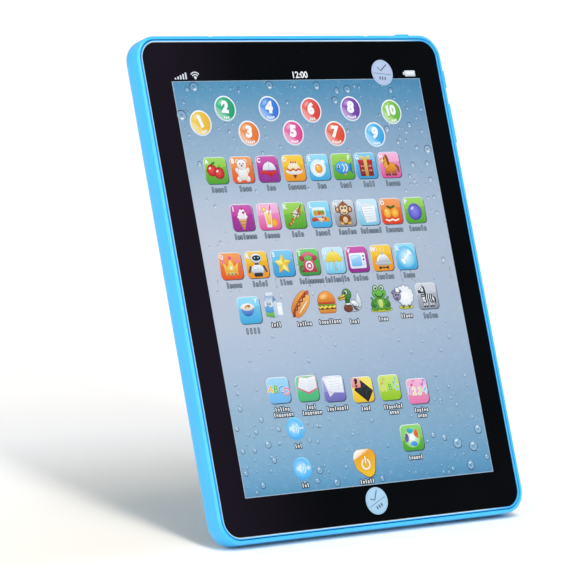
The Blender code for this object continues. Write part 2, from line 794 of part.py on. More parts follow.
def board_screws():
    return [
        cross_head_screw(
            f"board_screw_{i}", x, z, BOARD_SCREW_RADIUS, BOARD_SCREW_HEAD, BOARD_SCREW_TIP,
            ON_BOARD, BOARD_SCREW_TOP,
        )
        for i, (x, z) in enumerate(BOARD_SCREWS, 1)
    ]


def speaker():
    """Basket, cone, magnet, and the two screws that hold the basket's flange."""
    x, z = SPEAKER
    across, depths, rise = SPEAKER_TAB
    tab = box((x + across[0], x + across[1]), depths, (z + rise[0], z + rise[1]))
    basket = join(turned(BASKET_PROFILE, x, z, SPEAKER_SIDES), [tab])
    cone = turned(CONE_PROFILE, x, z, SPEAKER_SIDES)
    magnet = turned(MAGNET_PROFILE, x, z)
    bodies = [
        finish(basket, "speaker_basket", SILVER, 0.40, 1.0),
        finish(cone, "speaker_cone", (0.05, 0.05, 0.05), 0.55),
        finish(magnet, "speaker_magnet", (0.16, 0.16, 0.17), 0.45, 1.0),
    ]
    for i, spot in enumerate(speaker_screw_places(), 1):
        body = turned(SPEAKER_SCREW_PROFILE, *spot, 16)
        bodies.append(finish(body, f"speaker_screw_{i}", STEEL, 0.32, 1.0))
    return bodies


def wires():
    bodies = []
    for name, route in WIRES.items():
        path = smooth_route([place(*point) for point in route], 2)
        colour = (0.55, 0.02, 0.02) if name.endswith("positive") else (0.02, 0.02, 0.02)
        bodies.append(finish(tube(path, WIRE_RADIUS, WIRE_SIDES), name, colour, 0.45))
    return bodies


# ---------------------------------------------------------------- batteries

def batteries():
    """Three cells side by side. The middle one points down."""
    bodies = []
    end = CELL_BASE + CELL_LENGTH
    can_end = end - NUB_LENGTH
    profile = [
        (0, CELL_BASE),
        (CELL_RADIUS - 0.6, CELL_BASE),
        (CELL_RADIUS, CELL_BASE + 0.6),
        (CELL_RADIUS, can_end - 0.6),
        (CELL_RADIUS - 0.6, can_end),
        (NUB_RADIUS, can_end),
        (NUB_RADIUS, end),
        (0, end),
    ]
    for i, way in enumerate((1, -1, 1)):
        upright = [(radius, BAY_Z + way * along) for radius, along in profile]
        body = turned_upright(upright, (i - 1) * CELL_PITCH, CELL_DEPTH)
        bodies.append(finish(body, f"battery_{i + 1}", (0.30, 0.32, 0.35), 0.35, 0.6))
    return bodies


def coil(x, way):
    """The conical spring that presses on a cell's flat end."""
    start = CONTACT_NEAR + 0.1
    end = -CELL_BASE + GAP + COIL_WIRE
    count = int(COIL_TURNS * COIL_STEPS)
    points = []
    for i in range(count + 1):
        t = i / count
        angle = 2 * math.pi * i / COIL_STEPS
        radius = COIL_WIDE + (COIL_NARROW - COIL_WIDE) * t
        z = BAY_Z + way * (start + (end - start) * t)
        points.append(place(x + radius * math.cos(angle), CELL_DEPTH + radius * math.sin(angle), z))
    return tube(points, COIL_WIRE, 6)


def contact(name, cells, way, spring=None, tab=0):
    """A contact strip across some cells at one end of the bay, with its spring and solder tab."""
    left = (cells[0] - 1) * CELL_PITCH - CONTACT_HALF
    right = (cells[-1] - 1) * CELL_PITCH + CONTACT_HALF
    z_range = sorted((BAY_Z + way * CONTACT_NEAR, BAY_Z + way * CONTACT_FAR))
    body = box((left, right), CONTACT_DEPTHS, z_range)
    tools = []
    if spring is not None:
        tools.append(coil((spring - 1) * CELL_PITCH, way))
    if tab:
        tools.append(box(sorted((tab * TAB_START, tab * TAB_END)), TAB_DEPTHS, z_range))
    body = join(body, tools)
    return finish(body, name, SILVER, 0.28, 1.0)


def contacts():
    return [
        contact("contact_bridge_top", (0, 1), 1, spring=1),
        contact("contact_positive", (2,), 1, tab=1),
        contact("contact_negative", (0,), -1, spring=0, tab=-1),
        contact("contact_bridge_bottom", (1, 2), -1, spring=2),
    ]


def battery_door():
    """Its origin is on the hinge line."""
    reach = math.degrees(math.asin((DOOR_INSIDE - HINGE_DEPTH) / HINGE_ROUND))
    section = hinge_arc(HINGE_ROUND, 0, 270 + reach, 16)
    section += [(DOOR_INSIDE, DOOR_TOP), (THICKNESS, DOOR_TOP)]
    body = door_block(section, 0.0)
    body = join(body, [rod(0.0, LOCK_Z, LOCK_BOSS, LOCK_BOSS_FRONT, DOOR_INSIDE + 0.5)])
    body = cut(body, [
        rod(0.0, LOCK_Z, LOCK_HEAD + SCREW_PLAY, LOCK_SEAT, BEHIND),
        rod(0.0, LOCK_Z, LOCK_SHAFT + SCREW_PLAY, LOCK_BOSS_FRONT - 1, LOCK_SEAT + 0.5),
    ])
    body = join(body, [cross_bar(pin_section(PIN_RADIUS), -PIN_END, PIN_END)])
    return finish(body, "battery_door", BLUE, 0.32, 0.0, place(0.0, HINGE_DEPTH, HINGE_Z))


def battery_screw():
    """Its origin is on its own axis, at the seat."""
    seat = LOCK_SEAT + GAP
    return cross_head_screw(
        "battery_screw", 0.0, LOCK_Z, LOCK_SHAFT, LOCK_HEAD, LOCK_TIP, seat, THICKNESS - 0.1,
        place(0.0, seat, LOCK_Z),
    )


# ---------------------------------------------------------------- assembly

def main():
    for old in list(bpy.data.objects):
        bpy.data.objects.remove(old)
    fixed = [rear_shell(), front_housing(), printed_film(), membrane_tail()]
    fixed += case_screws() + membrane() + stickers()
    fixed += [circuit_board(), chip_blob(), capacitor(), cable_connector()]
    fixed += board_screws() + speaker() + wires() + batteries() + contacts()
    moving = keys()
    door = battery_door()
    screw = battery_screw()

    tablet = bpy.data.objects.new("tablet", None)
    bpy.context.collection.objects.link(tablet)
    for body in fixed + moving + [door]:
        body.parent = tablet
    screw.location -= door.location
    screw.parent = door


main()
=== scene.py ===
"""Looks of the kids toy tablet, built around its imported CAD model.

The face's artwork is laid out in millimetres from the middle of the face: x to the right,
v up. A depth counts from the casing's front rim towards the back, also in millimetres.
"""
import math
import random

import bmesh
import bpy
from mathutils import Matrix, Vector
from mathutils.geometry import tessellate_polygon

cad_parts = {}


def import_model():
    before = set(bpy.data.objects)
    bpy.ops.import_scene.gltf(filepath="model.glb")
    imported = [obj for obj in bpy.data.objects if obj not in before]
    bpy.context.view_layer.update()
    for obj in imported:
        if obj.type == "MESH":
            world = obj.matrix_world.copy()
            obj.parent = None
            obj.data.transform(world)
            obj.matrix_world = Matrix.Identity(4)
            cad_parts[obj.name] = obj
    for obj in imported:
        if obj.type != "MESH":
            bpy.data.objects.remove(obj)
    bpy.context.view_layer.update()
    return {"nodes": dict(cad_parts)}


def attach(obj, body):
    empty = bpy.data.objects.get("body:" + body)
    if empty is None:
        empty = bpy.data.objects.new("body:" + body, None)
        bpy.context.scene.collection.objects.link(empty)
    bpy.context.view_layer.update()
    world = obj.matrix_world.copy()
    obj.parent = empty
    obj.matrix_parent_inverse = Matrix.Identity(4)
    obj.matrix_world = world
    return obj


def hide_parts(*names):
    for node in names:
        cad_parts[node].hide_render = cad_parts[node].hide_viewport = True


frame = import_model()

MM = 0.001
PER_METRE = 1000.0
HALF_THICKNESS = 9.0
FACE_Z = 120.0
CASING_HALF = (92.0, 120.0)
CASING_CORNER = 11.5
RING_INSIDE = 3.0
FILM_INSET = 3.3
FILM_FRONT = 0.5
FILM_BACK = 0.9
STICKER_FRONT = 0.34
HOLE_GAP = 0.15  # the film's printed holes are this much larger than the key
KEY_GAP = 0.12   # the printed key is this much larger than the CAD key, all round
LAYER = 0.010    # how far each layer of print stands over the one under it
SINK = 0.05      # how far a printed shape reaches into what it lies on

rng = random.Random(7)


# ---------------------------------------------------------------- colours and materials

def ink(code):
    """An sRGB hex code as linear red, green and blue. Linear colours pass through."""
    if isinstance(code, tuple):
        return code
    values = [int(code[i:i + 2], 16) / 255 for i in (0, 2, 4)]
    return tuple(v / 12.92 if v <= 0.04045 else ((v + 0.055) / 1.055) ** 2.4 for v in values)


def blend(a, b, t):
    return tuple(p + (q - p) * t for p, q in zip(a, b))


def lightened(code, keep, add):
    """A hex code with each part scaled and raised, for the gloss on a tile."""
    return "".join("%02x" % min(255, int(int(code[i:i + 2], 16) * keep + add)) for i in (0, 2, 4))


class Material:
    """A node material with one Principled shader."""

    def __init__(self, name, **settings):
        self.made = bpy.data.materials.new(name)
        self.made.use_nodes = True
        self.tree = self.made.node_tree
        self.shader = self.tree.nodes["Principled BSDF"]
        for key, value in settings.items():
            self.shader.inputs[key.replace("_", " ")].default_value = value

    def node(self, kind, output=0, **values):
        """Adds a node. Sockets are given by name or by s0, s1 ...; other words are its properties."""
        node = self.tree.nodes.new("ShaderNode" + kind)
        for key, value in values.items():
            if key.startswith("s") and key[1:].isdigit():
                socket = node.inputs[int(key[1:])]
            elif key.replace("_", " ") in node.inputs:
                socket = node.inputs[key.replace("_", " ")]
            else:
                setattr(node, key, value)
                continue
            self.feed(socket, value)
        return node.outputs[output]

    def feed(self, socket, value):
        if isinstance(value, bpy.types.NodeSocket):
            self.tree.links.new(value, socket)
        elif isinstance(value, tuple) and len(value) == 3 and socket.type == "RGBA":
            socket.default_value = (*value, 1.0)
        else:
            socket.default_value = value

    def sum(self, operation, a, b=0.0, c=0.0):
        return self.node("Math", operation=operation, s0=a, s1=b, s2=c)

    def step(self, value, low, high):
        """0 at low, 1 at high, smooth between."""
        return self.node(
            "MapRange", interpolation_type="SMOOTHSTEP", Value=value, From_Min=low, From_Max=high
        )

    def times(self, a, b):
        return self.sum("MULTIPLY", a, b)

    def length(self, u, w):
        """The length of a flat vector, from its two parts."""
        return self.sum("SQRT", self.sum("ADD", self.times(u, u), self.times(w, w)))

    def vector(self, operation, a, b=(0.0, 0.0, 0.0), c=(0.0, 0.0, 0.0)):
        return self.node("VectorMath", operation=operation, s0=a, s1=b, s2=c)

    def mix(self, factor, a, b, kind="MIX"):
        node = self.tree.nodes.new("ShaderNodeMix")
        node.data_type = "RGBA"
        node.blend_type = kind
        self.feed(node.inputs[0], factor)
        self.feed(node.inputs[6], a)
        self.feed(node.inputs[7], b)
        return node.outputs[2]

    def place(self):
        """The point in the object's own space, which is the row frame at rest."""
        return self.node("TexCoord", 3)

    def axis(self, number):
        """One coordinate of that point, in metres: 0 for x, 1 for y, 2 for z."""
        return self.node("SeparateXYZ", number, Vector=self.place())

    def noise(self, scale, detail=3.0, vector=None, roughness=0.5):
        vector = self.place() if vector is None else vector
        return self.node("TexNoise", Vector=vector, Scale=scale, Detail=detail, Roughness=roughness)

    def ramp(self, value, stops):
        node = self.tree.nodes.new("ShaderNodeValToRGB")
        self.feed(node.inputs[0], value)
        elements = node.color_ramp.elements
        while len(elements) < len(stops):
            elements.new(0.5)
        for element, (position, colour) in zip(elements, stops):
            element.position = position
            element.color = (*colour, 1.0)
        return node.outputs[0]

    def colour(self, socket):
        self.feed(self.shader.inputs["Base Color"], socket)

    def rough(self, low, high, scale, detail=4.0):
        """Roughness that drifts between two values."""
        grain = self.noise(scale, detail)
        value = self.node("MapRange", Value=grain, From_Min=0.3, From_Max=0.7, To_Min=low, To_Max=high)
        self.feed(self.shader.inputs["Roughness"], value)

    def bump(self, height, distance, strength=1.0):
        normal = self.node("Bump", Strength=strength, Distance=distance, Height=height)
        self.feed(self.shader.inputs["Normal"], normal)


def plastic(name, colour, low=0.25, high=0.33, grain=1400.0, depth=0.000006, drift=0.05, **settings):
    """Moulded plastic: colour that drifts a little, and a fine moulded skin."""
    m = Material(name, **settings)
    shade = m.step(m.noise(22.0, 4.0), 0.3, 0.7)
    dark = tuple(c * (1 - drift) for c in colour)
    light = tuple(min(c * (1 + drift), 1.0) for c in colour)
    m.colour(m.mix(shade, dark, light))
    m.rough(low, high, 60.0)
    m.bump(m.noise(grain, 2.0), depth)
    return m.made


def metal(name, colour, low, high, grain=(300.0, 300.0, 3000.0), drift=0.12):
    """Plated or rolled metal, with faint drawn lines."""
    m = Material(name, Metallic=1.0)
    stretched = m.node("Mapping", Vector=m.place(), Scale=grain)
    lines = m.noise(1.0, 4.0, stretched)
    cloud = m.noise(160.0, 4.0)
    shade = m.step(m.times(lines, cloud), 0.15, 0.4)
    m.colour(m.mix(shade, tuple(c * (1 - drift) for c in colour), colour))
    m.rough(low, high, 250.0)
    m.bump(lines, 0.000004)
    return m.made


# ---------------------------------------------------------------- outlines

def circle(x, y, radius, sides=28):
    turn = 2 * math.pi / sides
    return [(x + radius * math.cos(i * turn), y + radius * math.sin(i * turn)) for i in range(sides)]


def ellipse(x, y, wide, high, turn=0.0, sides=26):
    c, s = math.cos(math.radians(turn)), math.sin(math.radians(turn))
    return [(x + a * wide * c - b * high * s, y + a * wide * s + b * high * c)
            for a, b in circle(0, 0, 1.0, sides)]


def rounded(centres, radius, steps=7):
    """An outline with an arc around each centre. The centres run anticlockwise."""
    points = []
    for i, (x, y) in enumerate(centres):
        before = centres[i - 1]
        after = centres[(i + 1) % len(centres)]
        start = math.atan2(y - before[1], x - before[0]) - math.pi / 2
        end = math.atan2(after[1] - y, after[0] - x) - math.pi / 2
        sweep = (end - start) % (2 * math.pi)
        for step in range(steps + 1):
            angle = start + sweep * step / steps
            points.append((x + radius * math.cos(angle), y + radius * math.sin(angle)))
    return points


def block(left, low, right, high, corner=0.0):
    if corner <= 0:
        return [(left, low), (right, low), (right, high), (left, high)]
    a, b, c, d = left + corner, low + corner, right - corner, high - corner
    return rounded([(a, b), (c, b), (c, d), (a, d)], corner, 5)


def polar(degrees, radius, x=0.0, y=0.0):
    """The point at an angle and a distance from (x, y)."""
    angle = math.radians(degrees)
    return (x + radius * math.cos(angle), y + radius * math.sin(angle))


def arc_points(x, y, radius, start, end, steps=14):
    return [polar(start + (end - start) * i / steps, radius, x, y) for i in range(steps + 1)]


def stroke(points, width):
    """The outline of a thick line with round ends."""
    path = [Vector(p) for p in points]
    left, right = [], []
    for i, p in enumerate(path):
        along = (path[min(i + 1, len(path) - 1)] - path[max(i - 1, 0)]).normalized()
        side = Vector((-along.y, along.x)) * width / 2
        left.append(tuple(p + side))
        right.append(tuple(p - side))
    first = (path[1] - path[0]).normalized()
    last = (path[-1] - path[-2]).normalized()
    a, b = math.degrees(math.atan2(first.y, first.x)), math.degrees(math.atan2(last.y, last.x))
    cap_end = arc_points(*path[-1], width / 2, b + 90, b - 90, 6)[1:-1]
    cap_start = arc_points(*path[0], width / 2, a - 90, a - 270, 6)[1:-1]
    return (left + cap_end + right[::-1] + cap_start)[::-1]


def grown(outline, amount):
    """An outline moved outwards, square to its edges."""
    points = [Vector(p) for p in outline]
    count = len(points)
    area = sum(points[i - 1].x * points[i].y - points[i].x * points[i - 1].y for i in range(count))
    out = amount if area > 0 else -amount
    moved = []
    for i, point in enumerate(points):
        before = (point - points[i - 1]).normalized()
        after = (points[(i + 1) % count] - point).normalized()
        square = Vector((before.y + after.y, -before.x - after.x))
        reach = square.length / 2
        square.normalize()
        moved.append(tuple(point + square * out / max(reach, 0.5)))
    return moved


letters = {}


def letter(text, bold):
    """The triangles of a word at height 1, centred, as (vertices, faces). The text tool makes them."""
    if (text, bold) not in letters:
        curve = bpy.data.curves.new("letter", "FONT")
        curve.body = text
        curve.extrude = 0.5
        curve.offset = bold
        curve.resolution_u = 4
        shape = bpy.data.objects.new("letter", curve)
        bpy.context.collection.objects.link(shape)
        bpy.context.view_layer.update()
        mesh = bpy.data.meshes.new_from_object(
            shape.evaluated_get(bpy.context.evaluated_depsgraph_get())
        )
        solid = bmesh.new()
        solid.from_mesh(mesh)
        bmesh.ops.remove_doubles(solid, verts=solid.verts, dist=1e-5)
        points = [v.co.copy() for v in solid.verts]
        solid.verts.index_update()
        faces = [[v.index for v in face.verts] for face in solid.faces]
        solid.free()
        bpy.data.objects.remove(shape)
        bpy.data.curves.remove(curve)
        bpy.data.meshes.remove(mesh)
        low = [min(p[k] for p in points) for k in (0, 1)]
        high = [max(p[k] for p in points) for k in (0, 1)]
        size = high[1] - low[1]
        centre = [(a + b) / 2 for a, b in zip(low, high)]
        flat = [((p.x - centre[0]) / size, (p.y - centre[1]) / size, p.z > 0) for p in points]
        letters[text, bold] = (flat, faces)
    return letters[text, bold]


# ---------------------------------------------------------------- artwork

class Art:
    """Flat printed shapes. Each is a thin closed slab, a little proud of the shapes under it."""

    def __init__(self):
        self.shapes = []
        self.edge = None
        self.at(0.0, 0.0)

    def at(self, x, v, turn=0.0):
        self.origin = (x, v)
        self.turn = math.radians(turn)
        return self

    def spot(self, point):
        x, y = point
        c, s = math.cos(self.turn), math.sin(self.turn)
        return (self.origin[0] + x * c - y * s, self.origin[1] + x * s + y * c)

    def level(self, points):
        """How many shapes this one lies over."""
        box = left, low, right, high = [f(p[k] for p in points) for f in (min, max) for k in (0, 1)]
        under = [level for (a, b, c, d), level, _ in self.shapes
                 if left < c and a < right and low < d and b < high]
        return box, max(under, default=0) + 1

    def fill(self, outline, colour, lower=None, holes=(), lean=90.0):
        """A shape whose colour runs from lower to colour along the lean direction, in degrees."""
        if self.edge:
            edge, self.edge = self.edge, None
            self.fill(grown(outline, edge[1]), edge[0])
            self.edge = edge
        loops = [[self.spot(p) for p in loop] for loop in (outline, *holes)]
        box, level = self.level(loops[0])
        top = ink(colour)
        low = ink(lower) if lower else top
        flat = [p for loop in loops for p in loop]
        way = (math.cos(math.radians(lean)), math.sin(math.radians(lean)))
        along = [p[0] * way[0] + p[1] * way[1] for p in flat]
        start, span = min(along), max(max(along) - min(along), 1e-6)
        colours = [blend(low, top, (t - start) / span) for t in along]
        triangles = tessellate_polygon([[Vector((*p, 0)) for p in loop] for loop in loops])
        count = len(flat)
        verts = [(*p, True) for p in flat] + [(*p, False) for p in flat]
        faces = []
        for a, b, c in triangles:
            faces += [(a, b, c), (c + count, b + count, a + count)]
        start = 0
        for loop in loops:
            size = len(loop)
            for i in range(size):
                j = start + (i + 1) % size
                faces.append((start + i, start + i + count, j + count, j))
            start += size
        self.shapes.append((box, level, (verts, faces, colours * 2)))

    def glow(self, x, y, wide, high, centre, edge, turn=0.0):
        """An oval whose colour changes from its middle to its edge."""
        ring = [self.spot(p) for p in ellipse(x, y, wide, high, turn)]
        box, level = self.level(ring)
        middle = self.spot((x, y))
        count = len(ring)
        verts = [(*p, True) for p in ring] + [(*p, False) for p in ring] + [(*middle, True)]
        faces = [tuple(range(2 * count - 1, count - 1, -1))]
        for i in range(count):
            j = (i + 1) % count
            faces += [(i, j, 2 * count), (i, i + count, j + count, j)]
        self.shapes.append((box, level, (verts, faces, [ink(edge)] * 2 * count + [ink(centre)])))

    def text(self, text, x, y, height, colour, turn=0.0, bold=0.02):
        verts, faces = letter(text, bold)
        c, s = math.cos(math.radians(turn)), math.sin(math.radians(turn))
        placed = [
            (*self.spot((x + (a * c - b * s) * height, y + (a * s + b * c) * height)), top)
            for a, b, top in verts
        ]
        box, level = self.level(placed)
        self.shapes.append((box, level, (placed, faces, [ink(colour)] * len(placed))))

    def disc(self, x, y, r, colour, lower=None):
        self.fill(circle(x, y, r), colour, lower)

    def ball(self, x, y, r, centre, edge):
        self.glow(x, y, r, r, centre, edge)

    def oval(self, x, y, wide, high, colour, lower=None, turn=0.0):
        self.fill(ellipse(x, y, wide, high, turn), colour, lower)

    def box(self, left, low, right, high, colour, lower=None, corner=0.0):
        self.fill(block(left, low, right, high, corner), colour, lower)

    def line(self, points, width, colour, lower=None):
        self.fill(stroke(points, width), colour, lower)

    def arc(self, x, y, radius, start, end, width, colour, lower=None):
        self.line(arc_points(x, y, radius, start, end), width, colour, lower)

    def ring(self, x, y, outer, inner, colour, lower=None):
        self.fill(circle(x, y, outer, 40), colour, lower, [circle(x, y, inner, 40)[::-1]])

    def star(self, x, y, r, colour, lower=None, points=5, inner=0.45, turn=90.0):
        corners = [polar(turn + i * 180 / points, r * inner if i % 2 else r, x, y) for i in range(points * 2)]
        self.fill(corners, colour, lower)

    def build(self, mesh, front, material_index):
        """Adds the shapes to a bmesh, on a surface at the given depth."""
        tint = mesh.loops.layers.float_color.get("ink")
        for _, level, (verts, faces, colours) in self.shapes:
            made = []
            for x, v, top in verts:
                depth = front - level * LAYER if top else front + SINK
                made.append(mesh.verts.new(world(x, depth, v)))
            for face in faces:
                corners = list(dict.fromkeys(face))
                if len(corners) < 3:
                    continue
                new = mesh.faces.new([made[i] for i in corners])
                new.material_index = material_index
                for loop, i in zip(new.loops, corners):
                    loop[tint] = (*colours[i], 1.0)


def world(x, depth, v):
    return Vector((x, depth - HALF_THICKNESS, v + FACE_Z)) * MM


def printed_mesh():
    """An empty mesh that can carry printed colours."""
    mesh = bmesh.new()
    mesh.loops.layers.float_color.new("ink")
    return mesh


def slab(mesh, loops, front, back, material_index):
    """A flat plate with holes, from one depth to another."""
    flat = [p for loop in loops for p in loop]
    near = [mesh.verts.new(world(x, front, v)) for x, v in flat]
    far = [mesh.verts.new(world(x, back, v)) for x, v in flat]
    corners = []
    for a, b, c in tessellate_polygon([[Vector((*p, 0)) for p in loop] for loop in loops]):
        corners += [(near[a], near[b], near[c]), (far[c], far[b], far[a])]
    start = 0
    for loop in loops:
        size = len(loop)
        for i in range(start, start + size):
            j = start + (i + 1 - start) % size
            corners.append((near[i], far[i], far[j], near[j]))
        start += size
    for face in corners:
        mesh.faces.new(face).material_index = material_index


def piece(name, mesh, materials, body, replaced):
    """Turns a bmesh into a piece that rides on a body and stands for a CAD node."""
    bmesh.ops.recalc_face_normals(mesh, faces=mesh.faces)
    data = bpy.data.meshes.new(name)
    mesh.to_mesh(data)
    mesh.free()
    for material in materials:
        data.materials.append(material)
    made = bpy.data.objects.new(name, data)
    bpy.context.collection.objects.link(made)
    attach(made, body)
    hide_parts(replaced)


# ---------------------------------------------------------------- materials of the face

PRINT_GLOSS = {"Specular_IOR_Level": 0.30}
# The wallpaper's colour at heights up the face
GROUND = (
    (-100, "5185a8"), (-96, "5d90b1"), (-90, "6a97b6"), (-80, "789fb9"), (-70, "83a3ba"), (-60, "89a5bb"),
    (-40, "9cadc2"), (-20, "a7b3c3"), (0, "acb4c2"), (20, "aeb6c4"), (40, "a4b1c2"), (50, "99abbe"),
    (60, "8ba4ba"), (70, "859fb7"), (80, "7396b1"), (90, "5c8dad"), (96, "5087a9"), (99, "4c82a5"),
)
SCREEN = (-74.6, -99.3, 75.8, 98.0)   # left, low, right, high


def ground_at(v):
    """The wallpaper's colour at a height, as in the material's ramp."""
    for (low, a), (high, b) in zip(GROUND, GROUND[1:]):
        if v <= high:
            return blend(ink(a), ink(b), max(0.0, (v - low) / (high - low)))
    return ink(GROUND[-1][1])


def wallpaper():
    """A printed photograph of a wet window: blue to silver ground, and a mist of fine drops."""
    m = Material("printed_wallpaper", **PRINT_GLOSS)
    x = m.times(m.axis(0), PER_METRE)
    v = m.sum("MULTIPLY_ADD", m.axis(2), PER_METRE, -FACE_Z)
    low, high = GROUND[0][0], GROUND[-1][0]
    height = m.node("MapRange", Value=v, From_Min=low, From_Max=high)
    sway = m.sum("MULTIPLY_ADD", m.noise(9.0, 2.0), 0.03, -0.015)
    stops = [((t - low) / (high - low), ink(c)) for t, c in GROUND]
    ground = m.ramp(m.sum("ADD", height, sway), stops)
    right = m.step(x, -80.0, 100.0)
    cool = m.mix(1.0, ground, ink("e3edf4"), "MULTIPLY")
    ground = m.mix(right, m.mix(1.0, ground, ink("fcfdfe"), "MULTIPLY"), cool)
    fringe = m.step(m.sum("ABSOLUTE", m.sum("SUBTRACT", v, -2.0)), 10.0, 85.0)
    flip = m.sum("MULTIPLY_ADD", m.step(v, -20.0, 20.0), 2.0, -1.0)

    flat = m.node("CombineXYZ", s0=x, s1=v, s2=0.0)
    wobble = m.node("TexNoise", 1, Vector=flat, Scale=0.6, Detail=1.0)
    bent = m.vector("ADD", flat, m.vector("MULTIPLY_ADD", wobble, (0.9, 0.9, 0.0), (-0.45, -0.45, 0.0)))

    def drops(ground, cell, radius, chance, offset, strength):
        """One size of fine drop: a dark rim on one side, and a bright spot on the other."""
        moved = m.vector("ADD", bent, (offset, offset * 1.7, 0.0))
        scaled = m.node("VectorMath", operation="SCALE", s0=moved, Scale=1.0 / cell)
        cells = m.node("TexVoronoi", voronoi_dimensions="2D", Vector=scaled, Scale=1.0, Randomness=0.85).node
        local = m.node("SeparateXYZ", Vector=m.vector("SUBTRACT", scaled, cells.outputs["Position"])).node
        luck = m.node("SeparateColor", Color=cells.outputs["Color"]).node
        size = m.sum("DIVIDE", m.sum("MULTIPLY_ADD", luck.outputs[0], radius * 0.55, radius * 0.45), cell)
        u = m.sum("DIVIDE", local.outputs[0], size)
        w = m.times(m.sum("DIVIDE", local.outputs[1], size), flip)
        far = m.length(u, w)
        odds = m.times(m.sum("MULTIPLY_ADD", fringe, 0.7, 0.3), chance)
        there = m.times(m.sum("LESS_THAN", luck.outputs[1], odds), strength)
        inside = m.times(m.step(far, 1.08, 0.92), there)
        side = m.step(m.sum("MULTIPLY_ADD", u, -0.35, m.times(w, 0.85)), -0.5, 0.8)
        shade = m.times(m.times(m.step(far, 0.5, 0.9), inside), side)
        ground = m.mix(shade, ground, ink("1d4f74"))
        spot = m.length(m.sum("SUBTRACT", u, 0.15), m.sum("ADD", w, 0.5))
        bright = m.times(m.step(spot, 0.5, 0.15), there)
        return m.mix(m.times(bright, 0.7), ground, ink("e6f2fa"))

    ground = drops(ground, 3.1, 0.55, 0.42, 1.3, 0.7)
    ground = drops(ground, 6.3, 0.85, 0.34, 4.1, 0.9)
    mist = m.step(m.noise(420.0, 3.0), 0.5, 0.8)
    m.colour(m.mix(m.times(mist, 0.05), ground, ink("e8f0f6")))
    m.rough(0.10, 0.17, 35.0)
    return m.made


def black_print():
    """Clear film printed black behind, with faint specks, finger haze and a painted reflection that lightens
    it towards the left side.
    """
    m = Material("printed_black", **PRINT_GLOSS)
    specks = m.step(m.noise(1500.0, 1.0), 0.80, 0.84)
    haze = m.step(m.noise(14.0, 5.0), 0.35, 0.75)
    # painted reflection: a lighter purple black towards the left side
    left = m.step(m.axis(0), -0.02, -0.088)
    base = m.mix(left, m.mix(haze, ink("020406"), ink("05070b")), m.mix(haze, ink("151019"), ink("18131d")))
    m.colour(m.mix(m.times(specks, 0.2), base, ink("8c95a0")))
    m.rough(0.07, 0.14, 25.0)
    return m.made


def printed_ink(name, fade="e2e7eb", speck=0.12, low=0.10, high=0.17, **settings):
    """Colours that the shapes carry, with the slight mottle of screen printing."""
    m = Material(name, **(settings or PRINT_GLOSS))
    tint = m.mix(1.0, m.node("Attribute", 0, attribute_name="ink"), ink(fade), "MULTIPLY")
    mottle = m.step(m.noise(1200.0, 3.0), 0.3, 0.7)
    m.colour(m.mix(m.times(mottle, speck), tint, ink("808890")))
    m.rough(low, high, 35.0)
    return m.made


FACE_MATERIALS = (black_print(), wallpaper(), printed_ink("printed_ink"))
BLACK, WALL, INK = 0, 1, 2


# ---------------------------------------------------------------- pictures

DARK = "3a4049"
WHITE = "fbfcfe"


def glossy_square(a, left, low, right, high, corner, colour, lower, gloss, pale):
    """A rounded square, lighter above a slanted line that runs between the two gloss heights."""
    a.box(left, low, right, high, colour, lower, corner)
    outline = block(left, low, right, high, corner)
    upper = outline[len(outline) // 2:]
    a.fill([(left, gloss[0]), (right, gloss[1])] + upper, pale, colour)


def tile(a, colour, lower):
    """A picture's rounded square: its shadow, its edge, its ground and its gloss."""
    a.box(-6.3, -6.75, 6.85, 6.1, "5d6b78", "3c4650", 2.2)
    a.box(-6.5, -6.35, 6.4, 6.5, "f2f6f8", lower, 2.1)
    glossy_square(a, -6.2, -6.3, 6.3, 6.2, 1.9, colour, lower, (0.6, 1.8), lightened(colour, 0.82, 52))


def corner_letter(a, text, x, shade):
    a.text(text, x + 0.12, 4.18, 2.35, shade, 0, 0.05)
    a.text(text, x, 4.3, 2.35, WHITE, 0, 0.045)


def words(a, x, v, pattern, pitch=1.85, height=2.5, core="8c99a6", edge=DARK, rim=0.26):
    """A caption with no words: a row of marks, t for tall, p for short and s for short with a slit."""
    left = x - (len(pattern) - 1) * pitch / 2
    low = v - height / 2
    short = height * 0.68
    half = pitch * 0.34
    marks = [(left + i * pitch, kind) for i, kind in enumerate(pattern)]
    for grow, colour in ((rim, edge), (0.0, core)):
        for across, kind in marks:
            wide = (half * 0.5 if kind == "t" else half) + grow
            top = low + (height if kind == "t" else short) + grow
            a.fill(block(across - wide, low - grow, across + wide, top, wide * 0.8), colour)
    for i, (across, kind) in enumerate(marks):
        if kind == "s":
            foot = low - 0.02 if i % 3 == 1 else low + 0.42
            a.fill(block(across - 0.16, foot, across + 0.16, low + short - 0.42, 0.14), edge)


def white_words(a, x, v, pattern, pitch):
    words(a, x, v, pattern, pitch, 2.1, WHITE, "14181d", 0.42)


def apple(a):
    for x, y in ((-2.3, 0.2), (1.7, -1.3)):
        a.disc(x, y, 2.95, "8f0f14")
        a.glow(x - 0.2, y + 0.15, 2.7, 2.6, "f0504a", "c01c22")
        a.oval(x - 1.0, y + 1.0, 0.75, 0.5, "ffe3dc", None, 30)
        a.line([(x, y + 2.0), (x + 0.5, y + 3.6)], 0.35, "5b3a17")
    a.oval(-1.0, 3.6, 1.1, 0.5, "2f7d1d", None, 25)


